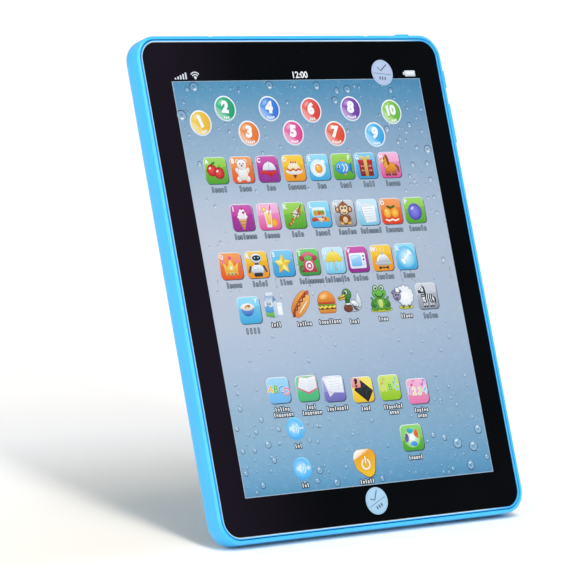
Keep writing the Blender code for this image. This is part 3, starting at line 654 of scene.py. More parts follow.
def bear(a):
    for x in (-2.1, 2.3):
        a.disc(x, 4.2, 1.05, "f3ece6")
        a.disc(x, 4.2, 0.5, "e8b9a6")
        a.disc(x * 1.15, -4.5, 1.35, "fbf8f5", "d9d0c8")
        a.oval(x * 1.25, -0.6, 1.1, 1.8, "f7f2ee", "d9d0c8", -35 if x > 0 else 35)
    a.oval(0.1, -2.0, 2.8, 3.1, "ffffff", "ded6cf")
    a.disc(0.1, 2.4, 2.55, "ffffff", "e6ded8")
    a.oval(0.1, 1.6, 1.1, 0.85, "efe4dc")
    for x in (-0.85, 1.05):
        a.disc(x, 2.9, 0.3, "2c2320")
    a.disc(0.1, 1.9, 0.38, "3a2a25")


def cap(a):
    dome = arc_points(0.8, -0.6, 3.9, 0, 180, 16)
    a.fill(dome, "ffffff", "cfd3dd")
    a.line(arc_points(0.8, -0.6, 3.9, 60, 88, 4) + [(0.6, -0.4)], 0.25, "a9afbd")
    a.fill([(-5.4, -2.2), (-3.4, -0.5), (0.5, -1.4), (4.9, -0.9), (4.6, -2.2), (1.4, -3.9), (-1.6, -2.6)],
           "e5342a", "a3151a")
    a.disc(0.8, 3.3, 0.4, "d6dae2")


def dinner(a):
    a.oval(0, -1.6, 5.0, 1.6, "ffffff", "d9d6cf")
    a.fill(arc_points(0, -1.2, 3.9, 0, 180, 16), "fff7e2", "f0d9a0")
    a.line([(-3.8, -0.5), (-2.2, -1.3), (-0.6, -0.4), (1.0, -1.3), (2.6, -0.5), (3.9, -1.1)], 0.9, "c7541d")
    a.oval(0, 2.4, 2.3, 0.75, "fffdf6", "efe2bd")
    for x in (-1.2, 0.1, 1.4):
        a.disc(x, 2.8, 0.5, "c9241e")
    a.fill([(-1.3, -3.3), (1.3, -3.3), (0, -5.3)], "7c2f14")


def egg(a):
    a.glow(-0.4, -0.4, 4.7, 4.3, "ffffff", "e4eef4", 15)
    a.oval(2.6, 2.3, 1.6, 1.1, "ffffff", "eef4f8", 35)
    a.disc(0.0, -0.7, 2.25, "e8a13a")
    a.glow(-0.2, -0.5, 2.0, 2.0, "ffd24a", "f0932b")
    a.oval(-0.7, 0.4, 0.6, 0.35, "fff6d8", None, 20)


def fish(a):
    a.fill([(3.0, -0.6), (5.6, 2.0), (5.3, -0.8), (5.4, -3.6)], "2f80d0", "1c5fa8")
    a.fill([(-1.8, 1.9), (0.2, 4.0), (2.4, 2.0)], "f2d43b", "d9a61f")
    a.fill([(-0.6, -3.0), (0.8, -4.7), (2.2, -2.6)], "f2d43b", "d9a61f")
    a.oval(-0.4, -0.6, 4.3, 3.0, "5cc0f2", "2f86cf")
    for x in (-0.2, 1.6):
        a.arc(x - 1.2, -0.6, 2.1, -55, 55, 0.7, "d9f1ff")
    a.disc(-2.6, 0.2, 0.85, WHITE)
    a.disc(-2.7, 0.2, 0.42, "16202b")
    a.arc(-3.6, -0.6, 0.8, -80, 0, 0.28, "1c4f7c")


def gift(a):
    a.box(-4.1, -5.2, 4.1, 2.3, "c12a2c", "7d0f14", 0.4)
    a.box(-4.5, 1.2, 4.5, 3.0, "d63a36", "a81c1f", 0.4)
    a.box(-0.95, -5.2, 0.95, 3.0, "e9cf7a", "b98d35")
    for x in (-2.7, -1.7, 2.0, 3.0):
        a.disc(x, -2.4, 0.35, "e0b8a0")
        a.disc(x, -0.2, 0.35, "e0b8a0")
    for turn in (28, -28):
        a.oval(-1.7 if turn < 0 else 1.7, 3.9, 1.8, 0.9, "f2e3a4", "c7a24a", turn)
    a.disc(0, 3.5, 0.75, "e3c868")


def horse(a):
    for x in (-2.6, -1.0, 1.3, 2.9):
        a.box(x - 0.6, -5.2, x + 0.6, -1.6, "d98425", "b05f15", 0.3)
        a.box(x - 0.6, -5.3, x + 0.6, -4.5, "6a3511", None, 0.2)
    a.oval(0.3, -1.2, 3.8, 2.3, "f2a23a", "d67d1d")
    a.line([(-2.3, -0.6), (-2.4, 2.6)], 2.4, "f2a23a")
    a.oval(-3.2, 2.8, 2.3, 1.45, "f6ae4a", "e0902c", 28)
    a.oval(-4.5, 2.1, 1.0, 0.9, "f8d7a5")
    a.fill([(-2.4, 4.0), (-1.8, 5.4), (-1.2, 3.9)], "d98425")
    a.line([(-1.5, 4.3), (-0.9, 2.4), (-0.7, 0.6)], 1.1, "8c4a16")
    a.line([(3.8, -0.4), (5.0, -1.4), (4.9, -3.2)], 0.9, "8c4a16")
    a.disc(-3.0, 3.3, 0.35, "2b1a0c")


def ice_cream(a):
    a.fill([(-2.3, -0.4), (2.3, -0.4), (0.5, -5.6), (-0.5, -5.6)], "f0c87c", "c98d3d")
    for x in (-1.3, 0.0, 1.3):
        a.line([(x, -0.8), (x * 0.4, -5.0)], 0.22, "a9712c")
    a.line([(-1.8, -1.8), (1.8, -1.8)], 0.22, "a9712c")
    a.line([(-1.3, -3.3), (1.3, -3.3)], 0.22, "a9712c")
    a.oval(0, 0.4, 3.0, 1.2, "fffdfb", "e8d9dd")
    a.oval(0, 1.8, 2.4, 1.15, "ffffff", "eee3e6")
    a.oval(0.1, 3.1, 1.6, 1.0, "ffffff", "f1e7ea")
    a.disc(0.9, 2.4, 0.65, "a51c2c")
    a.disc(0.2, 4.2, 0.6, "d22a35")


def juice(a):
    a.disc(2.6, -3.0, 2.1, "f08a1c")
    a.ball(2.6, -3.0, 1.8, "ffc04a", "f59a25")
    a.fill([(-2.6, 3.0), (1.8, 3.0), (1.0, -5.2), (-1.8, -5.2)], "f6fbff", "e5e9ee")
    a.fill([(-2.2, 1.8), (1.4, 1.8), (0.75, -3.9), (-1.5, -3.9)], "ffe08a", "f4b63c")
    a.line([(0.2, 1.2), (1.6, 5.2)], 0.5, "d63a3a")
    a.disc(-2.3, 3.4, 1.3, "f0c733", "e39d1e")
    a.disc(-2.3, 3.4, 0.8, "fbe59a")


def kite(a):
    a.fill([(-1.6, 1.0), (4.6, 4.9), (3.4, 0.2), (0.6, -1.5)], "f7f1e6", "e3d3bb")
    a.fill([(1.4, 2.3), (4.6, 4.9), (3.4, 0.2)], "ef8d3b", "d8622a")
    a.line([(-1.6, 1.0), (3.4, 0.2)], 0.25, "6b4a2a")
    a.line([(0.6, -1.5), (4.6, 4.9)], 0.25, "6b4a2a")
    a.line([(0.2, -0.8), (-1.4, -2.0), (-2.0, -3.4), (-3.8, -4.4)], 0.28, "f2f4ee")
    for x, y in ((-1.1, -1.8), (-2.0, -3.4), (-3.4, -4.3)):
        a.fill([(x - 0.9, y + 0.5), (x + 0.9, y + 0.5), (x, y)], "d8382c")
        a.disc(x + 0.5, y + 0.3, 0.45, "f0c62f")
        a.disc(x - 0.5, y - 0.3, 0.45, "d8382c")


def lunch(a):
    a.box(-4.3, -1.0, 3.6, 3.4, "f4fbfe", "c9e2ec", 0.8)
    a.box(-3.7, -0.6, 3.0, 2.0, "8fc05a", "d9892f", 0.5)
    a.oval(-3.4, -2.4, 2.0, 1.1, "d4542f", "a8321c", 10)
    a.oval(3.0, -2.5, 2.6, 1.2, "f2b04a", "d98a2a", -6)
    a.fill([(-2.2, -1.6), (2.6, -2.0), (0.2, -4.0)], "f4e2b8", "e0bd7c")
    for x, y in ((-1.6, -2.6), (1.6, -1.6), (3.0, -2.2)):
        a.disc(x, y, 0.6, "d32f24")
    a.disc(-0.2, 0.7, 0.9, "e24a2f")
    a.oval(1.7, 0.9, 1.1, 0.6, "5a9a32")


def monkey(a):
    for x in (-3.6, 3.6):
        a.disc(x, 1.9, 1.5, "8a4d22")
        a.disc(x, 1.9, 0.9, "f0c79a")
    a.oval(0, -3.2, 2.5, 2.3, "9a5a2a", "7a421c")
    a.oval(0, -3.3, 1.5, 1.6, "f2cfa0", "e0ae70")
    for x in (-2.4, 2.4):
        a.oval(x, -5.0, 1.2, 0.7, "f0c060", "d99d3a")
        a.oval(x * 1.15, -2.4, 0.6, 1.5, "8a4d22", None, 20 if x > 0 else -20)
    a.disc(0, 2.0, 3.2, "a5632f", "8a4d22")
    a.oval(-1.1, 2.4, 1.25, 1.4, "f6dcb8")
    a.oval(1.1, 2.4, 1.25, 1.4, "f6dcb8")
    a.oval(0, 0.7, 2.2, 1.4, "f8e2c2", "ecc590")
    for x in (-1.0, 1.0):
        a.disc(x, 2.5, 0.42, "23180f")
    a.arc(0, 1.1, 1.1, 215, 325, 0.28, "7a421c")
    a.fill([(-0.7, 5.0), (0.2, 6.1), (0.9, 4.9)], "8a4d22")


def notebook(a):
    a.fill([(-4.9, 3.1), (-0.8, 4.9), (4.7, 3.4), (4.6, -4.9), (-2.4, -5.2)], "e9eef3", "cbd7e2")
    a.fill([(-4.0, 2.5), (4.4, 2.9), (4.0, -4.2), (-2.0, -5.2)], "ffffff", "e3e9ef")
    for i in range(5):
        y = 1.6 - i * 1.25
        a.line([(-2.7 + i * 0.2, y), (3.3, y + 0.2)], 0.2, "b9c6d4")
    a.line([(-3.9, 2.5), (-2.1, -5.0)], 0.3, "93a7bc")


def orange(a):
    for x in (-2.3, 2.3):
        a.disc(x, -0.9, 2.75, "c9560f")
        a.ball(x - 0.1, -0.7, 2.5, "ffd257", "f5921e")
    a.oval(-0.9, 2.0, 1.7, 0.6, "2c5e1c", None, -22)
    a.oval(1.3, 2.1, 1.6, 0.6, "356f20", None, 22)
    a.line([(-3.8, -4.1), (-2.0, -4.7), (0, -4.1), (2.0, -4.7), (3.8, -4.1)], 0.8, "fff1dc")
    a.disc(-3.2, 0.4, 0.5, "fff3c9")


def purple(a):
    a.disc(0.1, -0.8, 4.2, "4438a0")
    a.glow(-0.1, -0.5, 3.9, 3.9, "8e86e6", "5a50c4")
    a.oval(-1.3, 1.0, 1.2, 0.7, "c9c5fa", None, 30)


def crown(a):
    a.fill([(-4.3, 1.9), (-2.1, -0.4), (0, 3.4), (2.1, -0.4), (4.3, 1.9), (3.5, -3.6), (-3.5, -3.6)],
           "ffe47a", "e2a51d")
    a.box(-3.6, -4.5, 3.6, -3.0, "f6cf4e", "c98a16", 0.4)
    for x, y, c in ((-4.3, 2.2, "f07fb4"), (0, 3.8, "e34f8f"), (4.3, 2.2, "f07fb4")):
        a.disc(x, y, 0.85, c)
    for x in (-2.2, 0, 2.2):
        a.disc(x, -3.75, 0.5, "d23a6c" if x else "3f8fd8")
    a.star(0, -0.9, 1.3, "fff6cf")


def robot(a):
    a.line([(-3.9, -1.0), (-5.0, -3.3)], 1.0, "4b5058")
    a.line([(3.9, -1.0), (5.0, -3.3)], 1.0, "4b5058")
    a.oval(0, -2.4, 3.7, 2.5, "fafcff", "a9b4c6")
    a.box(-2.4, -5.6, 2.4, -3.9, "3b3f46", "1d2026", 0.7)
    a.box(-0.9, 0.0, 0.9, 1.2, "3a3e45")
    a.oval(0, 3.1, 3.1, 2.3, "ffffff", "b9c3d3")
    a.oval(0.2, 3.2, 2.4, 1.2, "2a2e36", "0f1116")
    for x in (-0.8, 1.2):
        a.disc(x, 3.3, 0.38, "8fd8f5")
    a.oval(-1.2, -1.6, 1.0, 0.6, "ffffff", None, 20)


def star_picture(a):
    a.star(0, -0.4, 5.3, "c79a1c", None, 5, 0.5)
    a.star(0, -0.3, 4.9, "fff27a", "f2c52e", 5, 0.5)
    for i in range(5):
        tip = polar(90 + i * 72, 4.6, 0, -0.3)
        dent = polar(54 + i * 72, 2.3, 0, -0.3)
        a.fill([(0, -0.3), dent, tip], "fdf6a8" if i % 2 else "e6b823")


def telephone(a):
    a.fill([(-4.2, -4.9), (4.4, -4.9), (3.0, 0.6), (-2.6, 0.6)], "e0506e", "b02340")
    a.disc(0.2, -1.9, 2.35, "ffffff", "e9c9d2")
    a.disc(0.2, -1.9, 1.5, "d8405f")
    a.star(0.2, -1.9, 1.1, WHITE, None, 5, 0.6)
    a.arc(0.1, -0.4, 4.3, 35, 145, 1.5, "f07f97", "c53a58")
    for x in (-3.7, 3.9):
        a.oval(x, 1.7, 1.5, 1.1, "cf4562", "a0253f", -30 if x < 0 else 30)
    a.arc(-4.0, -3.2, 1.3, 90, 300, 0.4, "7c1a30")


def umbrella(a):
    a.box(-5.6, -5.6, 5.6, -0.4, "a9e0f2", "7cc9e6", 1.2)
    for x in (-4.4, -2.3, 2.6, 4.6):
        a.line([(x, -1.6), (x - 0.3, -4.6)], 0.2, "dff5fb")
    a.line([(0, 2.6), (0, -3.6)], 0.4, "c9a227")
    a.arc(0.8, -3.7, 0.8, 180, 350, 0.4, "c9a227")
    a.fill(arc_points(0, -0.4, 4.9, 8, 172, 18), "fff07a", "f0c81e")
    for x in (-3.2, 0, 3.2):
        a.oval(x, 0.0, 1.65, 0.75, "f6dd4a", "d9b320")
    a.line([(0, 4.5), (0, 5.3)], 0.5, "c9a227")


def television(a):
    a.box(-4.9, -4.5, 5.0, 3.0, "ffffff", "dfe4ee", 0.9)
    a.box(-3.9, -3.5, 2.5, 2.1, "b7e0fb", "6fb4ec", 1.0)
    a.fill([(-3.4, -0.2), (1.9, 1.6), (-3.4, 1.6)], "d9f0ff", "b7e0fb")
    for y in (1.4, -0.3):
        a.disc(3.8, y, 0.55, "5a6270")
    for y in (-1.9, -2.7):
        a.line([(3.3, y), (4.3, y)], 0.25, "9aa2b0")


def serving_dish(a):
    a.oval(0.4, -2.7, 5.0, 1.1, "e4e8ee", "8d949f")
    a.fill(arc_points(0.4, -2.3, 4.1, 0, 180, 18), "ffffff", "aab2be")
    a.line(arc_points(0.4, -2.3, 3.3, 110, 165, 6), 0.7, "ffffff")
    a.disc(0.4, 2.3, 0.75, "d9dee6", "8d949f")
    a.fill([(-2.6, -4.0), (0.0, -4.8), (-2.6, -5.7)], "23242a")
    a.fill([(3.2, -4.0), (0.6, -4.8), (3.2, -5.7)], "23242a")
    a.disc(0.3, -4.8, 0.55, "3a3c45")
    for x in (-2.6, -0.6, 1.6):
        a.line([(x, 3.4), (x + 0.5, 4.3), (x, 5.1)], 0.3, "fff3cf")


def bright_bone(a):
    a.glow(0.2, -0.2, 5.6, 5.4, "e9fbff", "58bfe8")
    a.line([(-1.9, -2.1), (2.2, 1.8)], 0.9, "ffffff")
    for x, y in ((-2.5, -1.8), (-1.6, -2.8), (2.0, 2.6), (2.9, 1.6)):
        a.disc(x, y, 0.75, "ffffff")


def bowl(a):
    a.oval(-1.0, 1.3, 4.0, 2.0, "f8fafd", "c9d6e8")
    a.fill(arc_points(-1.0, 0.9, 3.8, 180, 360, 16), "6f9fe0", "2f5fb4")
    a.oval(-1.0, 1.3, 3.3, 1.45, "fff6e6", "ead6b4")
    a.oval(-0.8, 1.7, 1.7, 0.75, "c97a35", "a85a22", 15)
    a.oval(-1.2, 1.3, 0.8, 0.35, "f7e2b8")


def milk(a):
    a.box(2.0, -4.9, 5.4, 1.4, "f2f7fa", "dfe8ee", 0.4)
    a.box(2.3, -4.6, 5.1, -0.2, "ffffff", "f1f4f6", 0.3)
    a.fill([(-4.6, 2.2), (0.0, 1.6), (2.2, 2.6), (2.2, -4.7), (-0.1, -5.7), (-4.6, -4.8)], "f6f9fb", "dde6ee")
    a.fill([(0.0, 1.6), (2.2, 2.6), (2.2, -4.7), (-0.1, -5.7)], "d5deea", "b9c7d8")
    a.fill([(-4.6, 2.2), (0.0, 1.6), (0.9, 4.6), (-3.4, 4.9)], "8fb0cf", "dfe8f0")
    a.fill([(0.0, 1.6), (2.2, 2.6), (0.9, 4.6)], "5d86b3", "7c9cc0")
    a.box(-3.5, 4.6, 1.0, 6.4, "f2f5f8", "c9d4df", 0.2)
    a.fill([(-4.6, -0.6), (-3.0, 0.3), (-1.5, -0.8), (0.0, -0.2), (0.0, -3.6), (-4.6, -3.1)],
           "6fb2e2", "3f8fd0")
    a.fill([(-4.6, -2.7), (-2.4, -3.6), (0.0, -3.0), (-0.1, -5.7), (-4.6, -4.8)], "8fd05a", "4f9a34")
    words(a, -2.3, 0.9, "tst", 0.95, 1.3, "26303c", "f6f9fb")


def hot_dog(a):
    a.oval(-0.8, 0.7, 7.1, 3.1, "f2a650", "c9712a", 47)
    a.oval(-0.1, 0.1, 8.2, 1.75, "d0502a", "9a2f16", 47)
    a.oval(0.9, -1.0, 6.9, 2.6, "fbb860", "e08a34", 47)
    steps = [(i, 0.35 if i % 2 else -0.35) for i in range(9)]
    a.line([(-3.9 + i * 0.95 + side, -3.3 + i - side) for i, side in steps], 0.4, "7a2412")
    a.oval(1.2, -1.4, 4.6, 0.55, "fde0ac", None, 45)


def hamburger(a):
    a.box(-5.0, -5.2, 5.0, -2.6, "f4ab45", "c9752a", 1.2)
    a.box(-5.3, -3.3, 5.3, -2.0, "7a3a1c", "57270f", 0.6)
    a.fill([(-5.3, -2.3), (-4.2, -3.0), (-3.0, -2.3), (-1.6, -3.2), (-0.2, -2.3), (1.4, -3.1), (2.8, -2.3),
            (4.2, -3.0), (5.3, -2.3), (5.1, -1.4), (-5.1, -1.4)], "f9df5a", "f2c93c")
    a.fill([(-5.5, -0.9), (-4.4, -1.9), (-3.2, -1.2), (-2.0, -2.0), (-0.8, -1.2), (0.6, -2.1), (1.9, -1.2),
            (3.1, -2.0), (4.3, -1.2), (5.5, -1.7), (5.2, -0.5), (-5.2, -0.4)], "6cae3c", "4f8f2a")
    a.box(-5.0, -0.8, 5.0, 0.3, "de5531", "b82f1c", 0.5)
    a.fill(arc_points(0, 0.1, 5.3, 0, 180, 20), "f9a63f", "d97a22")
    a.glow(-1.4, 3.0, 2.6, 1.4, "ffd594", "f6a544", 12)


def duck(a):
    a.oval(1.3, -3.2, 4.6, 2.9, "e9edf2", "a8b0bb")
    a.fill([(3.2, -0.6), (4.6, 3.4), (6.0, -0.2), (6.1, -3.6), (4.2, -4.2)], "f6f8fa", "c3cad3")
    a.oval(2.2, -2.2, 2.4, 1.2, "ffffff", "c9cfd8", -25)
    for i in range(3):
        a.arc(2.2 + i * 0.4, -2.0 - i * 0.8, 1.7, 200, 290, 0.22, "5b6068")
    a.oval(-2.2, -4.2, 2.6, 1.9, "8a4a26", "6a3218")
    a.line([(-2.0, -1.8), (-1.9, 1.0)], 2.5, "2f6b34")
    a.box(-3.3, -2.6, -0.6, -1.9, "f4f6f8", None, 0.3)
    a.disc(-1.9, 2.4, 2.7, "4f9a4a", "2f6b34")
    a.fill([(-3.4, 2.6), (-7.4, 1.0), (-6.6, -0.2), (-3.2, 0.4)], "f9e04a", "e0ae1e")
    a.line([(-7.0, 0.6), (-3.4, 1.4)], 0.22, "a8741a")
    a.disc(-2.5, 3.4, 0.85, WHITE)
    a.disc(-2.7, 3.3, 0.45, "1c2026")


def frog(a):
    a.oval(0, -5.6, 6.6, 1.1, "d6d84a", "b7b92e")
    for side in (-1, 1):
        a.oval(side * 3.6, -2.4, 2.6, 1.7, "4f9a34", "2f7022", side * -40)
        a.line([(side * 3.0, -3.0), (side * 5.0, 0.2)], 0.9, "5aa53c")
        a.oval(side * 4.0, -5.2, 2.0, 0.6, "5fae3e", "3d8429", side * 8)
        a.line([(side * 1.4, -1.6), (side * 1.7, -5.0)], 1.0, "6cbc48")
    a.oval(0, -2.5, 2.6, 3.2, "79c552", "4f9a34")
    a.oval(0, -2.7, 1.5, 2.2, "d9e88a", "b6d060")
    a.oval(0, 2.4, 4.1, 2.7, "7cc956", "56a23a")
    for side in (-1, 1):
        a.disc(side * 1.9, 4.8, 1.5, "6cbc48")
        a.disc(side * 1.9, 4.9, 1.0, WHITE)
        a.disc(side * 1.8, 4.8, 0.5, "1d2a18")
    a.arc(0, 3.2, 2.7, 205, 335, 0.3, "2a6420")


def sheep(a):
    a.oval(0.8, -5.2, 4.6, 0.9, "d6d84a", "b7b92e")
    for x in (-1.0, 2.8):
        a.box(x - 0.5, -5.4, x + 0.5, -3.4, "6a6470", None, 0.2)
    for i in range(12):
        angle = math.radians(i * 30)
        wool = "f4f5f8" if i < 7 else "d3d7e0"
        a.disc(1.0 + 3.9 * math.cos(angle), 0.4 + 3.7 * math.sin(angle), 1.5, wool)
    a.glow(1.0, 0.4, 4.7, 4.5, "ffffff", "eceef3")
    a.oval(-4.0, 0.8, 2.2, 2.6, "a9a0bd", "8c84a6", 15)
    a.oval(-5.7, 2.6, 1.2, 0.6, "8c84a6", None, 30)
    a.oval(-2.0, 2.9, 1.2, 0.6, "8c84a6", None, -30)
    a.disc(-3.3, 3.4, 1.2, "f7f8fa")
    for x in (-4.8, -3.3):
        a.disc(x, 1.3, 0.55, WHITE)
        a.disc(x, 1.2, 0.28, "22202c")
    a.oval(-4.2, -0.8, 0.7, 0.4, "5f5878")


def zebra(a):
    for x in (-2.4, -0.8, 1.6, 3.0):
        a.box(x - 0.45, -5.4, x + 0.45, -1.8, "f2f3f5", "cfd2d8", 0.2)
        a.box(x - 0.45, -3.4, x + 0.45, -2.9, "24262b")
        a.box(x - 0.45, -5.4, x + 0.45, -4.8, "24262b", None, 0.15)
    a.oval(0.4, -1.4, 3.7, 2.1, "ffffff", "d5d8de")
    a.line([(-2.2, -0.8), (-2.6, 2.6)], 2.1, "fafbfc", "e3e5ea")
    a.oval(-3.2, 3.2, 1.9, 1.3, "ffffff", "d5d8de", 35)
    a.oval(-4.3, 2.3, 0.8, 0.7, "2a2c31")
    for x in (-0.8, 0.5, 1.8, 3.0):
        a.line([(x, 0.4), (x - 0.5, -1.2), (x, -3.0)], 0.5, "202227")
    for y in (0.0, 1.0, 2.0):
        a.line([(-3.4, y - 0.2), (-1.4, y)], 0.4, "202227")
    a.line([(-1.6, 4.4), (-1.2, 2.4), (-1.0, 0.4)], 0.7, "202227")
    a.fill([(-2.6, 4.2), (-2.1, 5.5), (-1.6, 4.1)], "f2f3f5", "24262b")
    a.line([(3.9, -0.6), (4.9, -1.6), (4.7, -3.4)], 0.5, "202227")
    a.disc(-3.2, 3.6, 0.3, "15171b")


# The colour and width of the line round a picture that has one
OUTLINED = {
    bear: ("b8a69a", 0.1), horse: ("7a3d10", 0.13), fish: ("1f4f86", 0.12), monkey: ("5a2f12", 0.14),
    kite: ("4a3a22", 0.08), duck: ("20241f", 0.17), frog: ("1d3a14", 0.17), sheep: ("2c2b36", 0.17),
    zebra: ("1c1e22", 0.12), hot_dog: ("8a3d16", 0.16), robot: ("2a2e36", 0.1), telephone: ("7c1a30", 0.1),
    hamburger: ("8a3d16", 0.12), milk: ("5b7fa6", 0.07),
}
GREEN = ("8ccb3e", "4fa02c")
ORANGE = ("f58a3a", "e8541c")
MAGENTA = ("c2389c", "8f2a8c")
YELLOW = ("f9c21f", "ef9417")
SKY = ("7fd2ee", "3fa8dc")
BLUE = ("66bfe8", "349bd2")
PINK = ("f7a6d0", "e44f98")
GREY = ("c6cad2", "8d929c")
PALE = ("bfe4f2", "7cc4e0")
# Rows of pictures on tiles: the row's height, its captions' height, and each picture's place,
# tile colours, corner letter, drawing and caption marks
ROWS = (
    (54.7, 45.6, (
        (-58.3, GREEN, "A", apple, "tsspt"), (-43.0, ORANGE, "B", bear, "tsss"),
        (-27.8, MAGENTA, "C", cap, "tss"), (-12.3, YELLOW, "D", dinner, "tsssss"),
        (2.7, SKY, "E", egg, "tss"), (17.5, GREEN, "F", fish, "tsst"),
        (31.8, BLUE, "G", gift, "tstt"), (46.7, PINK, "H", horse, "tssss"),
    )),
    (31.7, 22.7, (
        (-47.8, MAGENTA, "I", ice_cream, "tsstssss"), (-32.3, PINK, "J", juice, "tssss"),
        (-17.0, GREEN, "K", kite, "tsts"), (-1.8, SKY, "L", lunch, "tssst"),
        (13.2, GREY, "M", monkey, "tsstss"), (27.8, PALE, "N", notebook, "tstsssst"),
        (42.2, ("f58a3a", "e2341c"), "O", orange, "tsssss"), (57.0, GREEN, "P", purple, "tsssts"),
    )),
    (9.0, -0.1, (
        (-59.5, ORANGE, "Q", crown, "tssss"), (-44.3, YELLOW, "R", robot, "tstst"),
        (-29.0, BLUE, "S", star_picture, "ttss"), (-13.7, ("5fc04a", "3c9440"), "T", telephone, "tstssssss"),
        (1.7, PALE, "U", umbrella, "tsttsstts"), (16.0, MAGENTA, "V", television, "tstss"),
        (31.2, YELLOW, "W", serving_dish, "tsstss"), (46.2, SKY, "X", bright_bone, "tsss"),
    )),
)
# Pictures with no tile: place, drawing, caption height and caption marks
LOOSE = (
    (-39.3, -10.9, milk, -20.0, "tstt"), (-22.7, -11.0, hot_dog, -20.4, "tsttss"),
    (-7.3, -11.0, hamburger, -20.2, "tsssttsss"), (7.4, -10.2, duck, -20.9, "tsst"),
    (25.3, -10.6, frog, -20.6, "tsss"), (40.0, -10.6, sheep, -19.9, "ttsss"),
)


def drop(a, x, v, radius):
    """A water drop: a dark rim on its shaded side, a pale middle and a bright spot."""
    upper = v > 0
    ground = tuple(1.25 * c for c in ground_at(v))
    white = (1, 1, 1)
    dark = blend(ground, ink("0d2f4a"), 0.88 if radius > 0.9 else 0.7)
    sides = 20 if radius > 1.4 else 13
    a.at(x, v, rng.uniform(-14, 14))
    tall = rng.uniform(0.94, 1.1)
    shape = ellipse(0, 0, radius, radius * tall, 0, sides)
    a.fill(shape, blend(ground, white, 0.04), blend(ground, white, 0.14))
    thick = 0.17 + 0.12 * radius
    thin = thick * 0.3
    middle = 100 if upper else -80
    reach = 150 if radius > 1.2 else 115
    outer = arc_points(0, 0, radius, middle - reach, middle + reach, sides)
    shifted = polar(middle + 180, (thick - thin) / 2)
    inner = arc_points(*shifted, radius - (thick + thin) / 2, middle + reach, middle - reach, sides)
    a.fill([(p, q * tall) for p, q in outer + inner], dark)
    spot = -78 if upper else 115
    bright = blend(ground, white, 0.85)
    a.oval(*polar(spot, 0.55 * radius), 0.34 * radius, 0.17 * radius, bright, None, spot + 90)
    if radius > 1.6:
        a.oval(-0.1, 0.1 if upper else -0.1, radius * 0.3, radius * 0.22, blend(ground, ink("2a6a94"), 0.35))


def clear_of_keys(x, v, radius):
    """Whether a shape stays off every key's hole."""
    for _, outline, _, _ in key_shapes():
        points = outline(HOLE_GAP)
        low, high = [[f(p[k] for p in points) for k in (0, 1)] for f in (min, max)]
        if low[0] - radius < x < high[0] + radius and low[1] - radius < v < high[1] + radius:
            middle = [(a + b) / 2 for a, b in zip(low, high)]
            reach = max(math.dist(middle, p) for p in points)
            if math.dist(middle, (x, v)) < reach + radius:
                return False
    return True


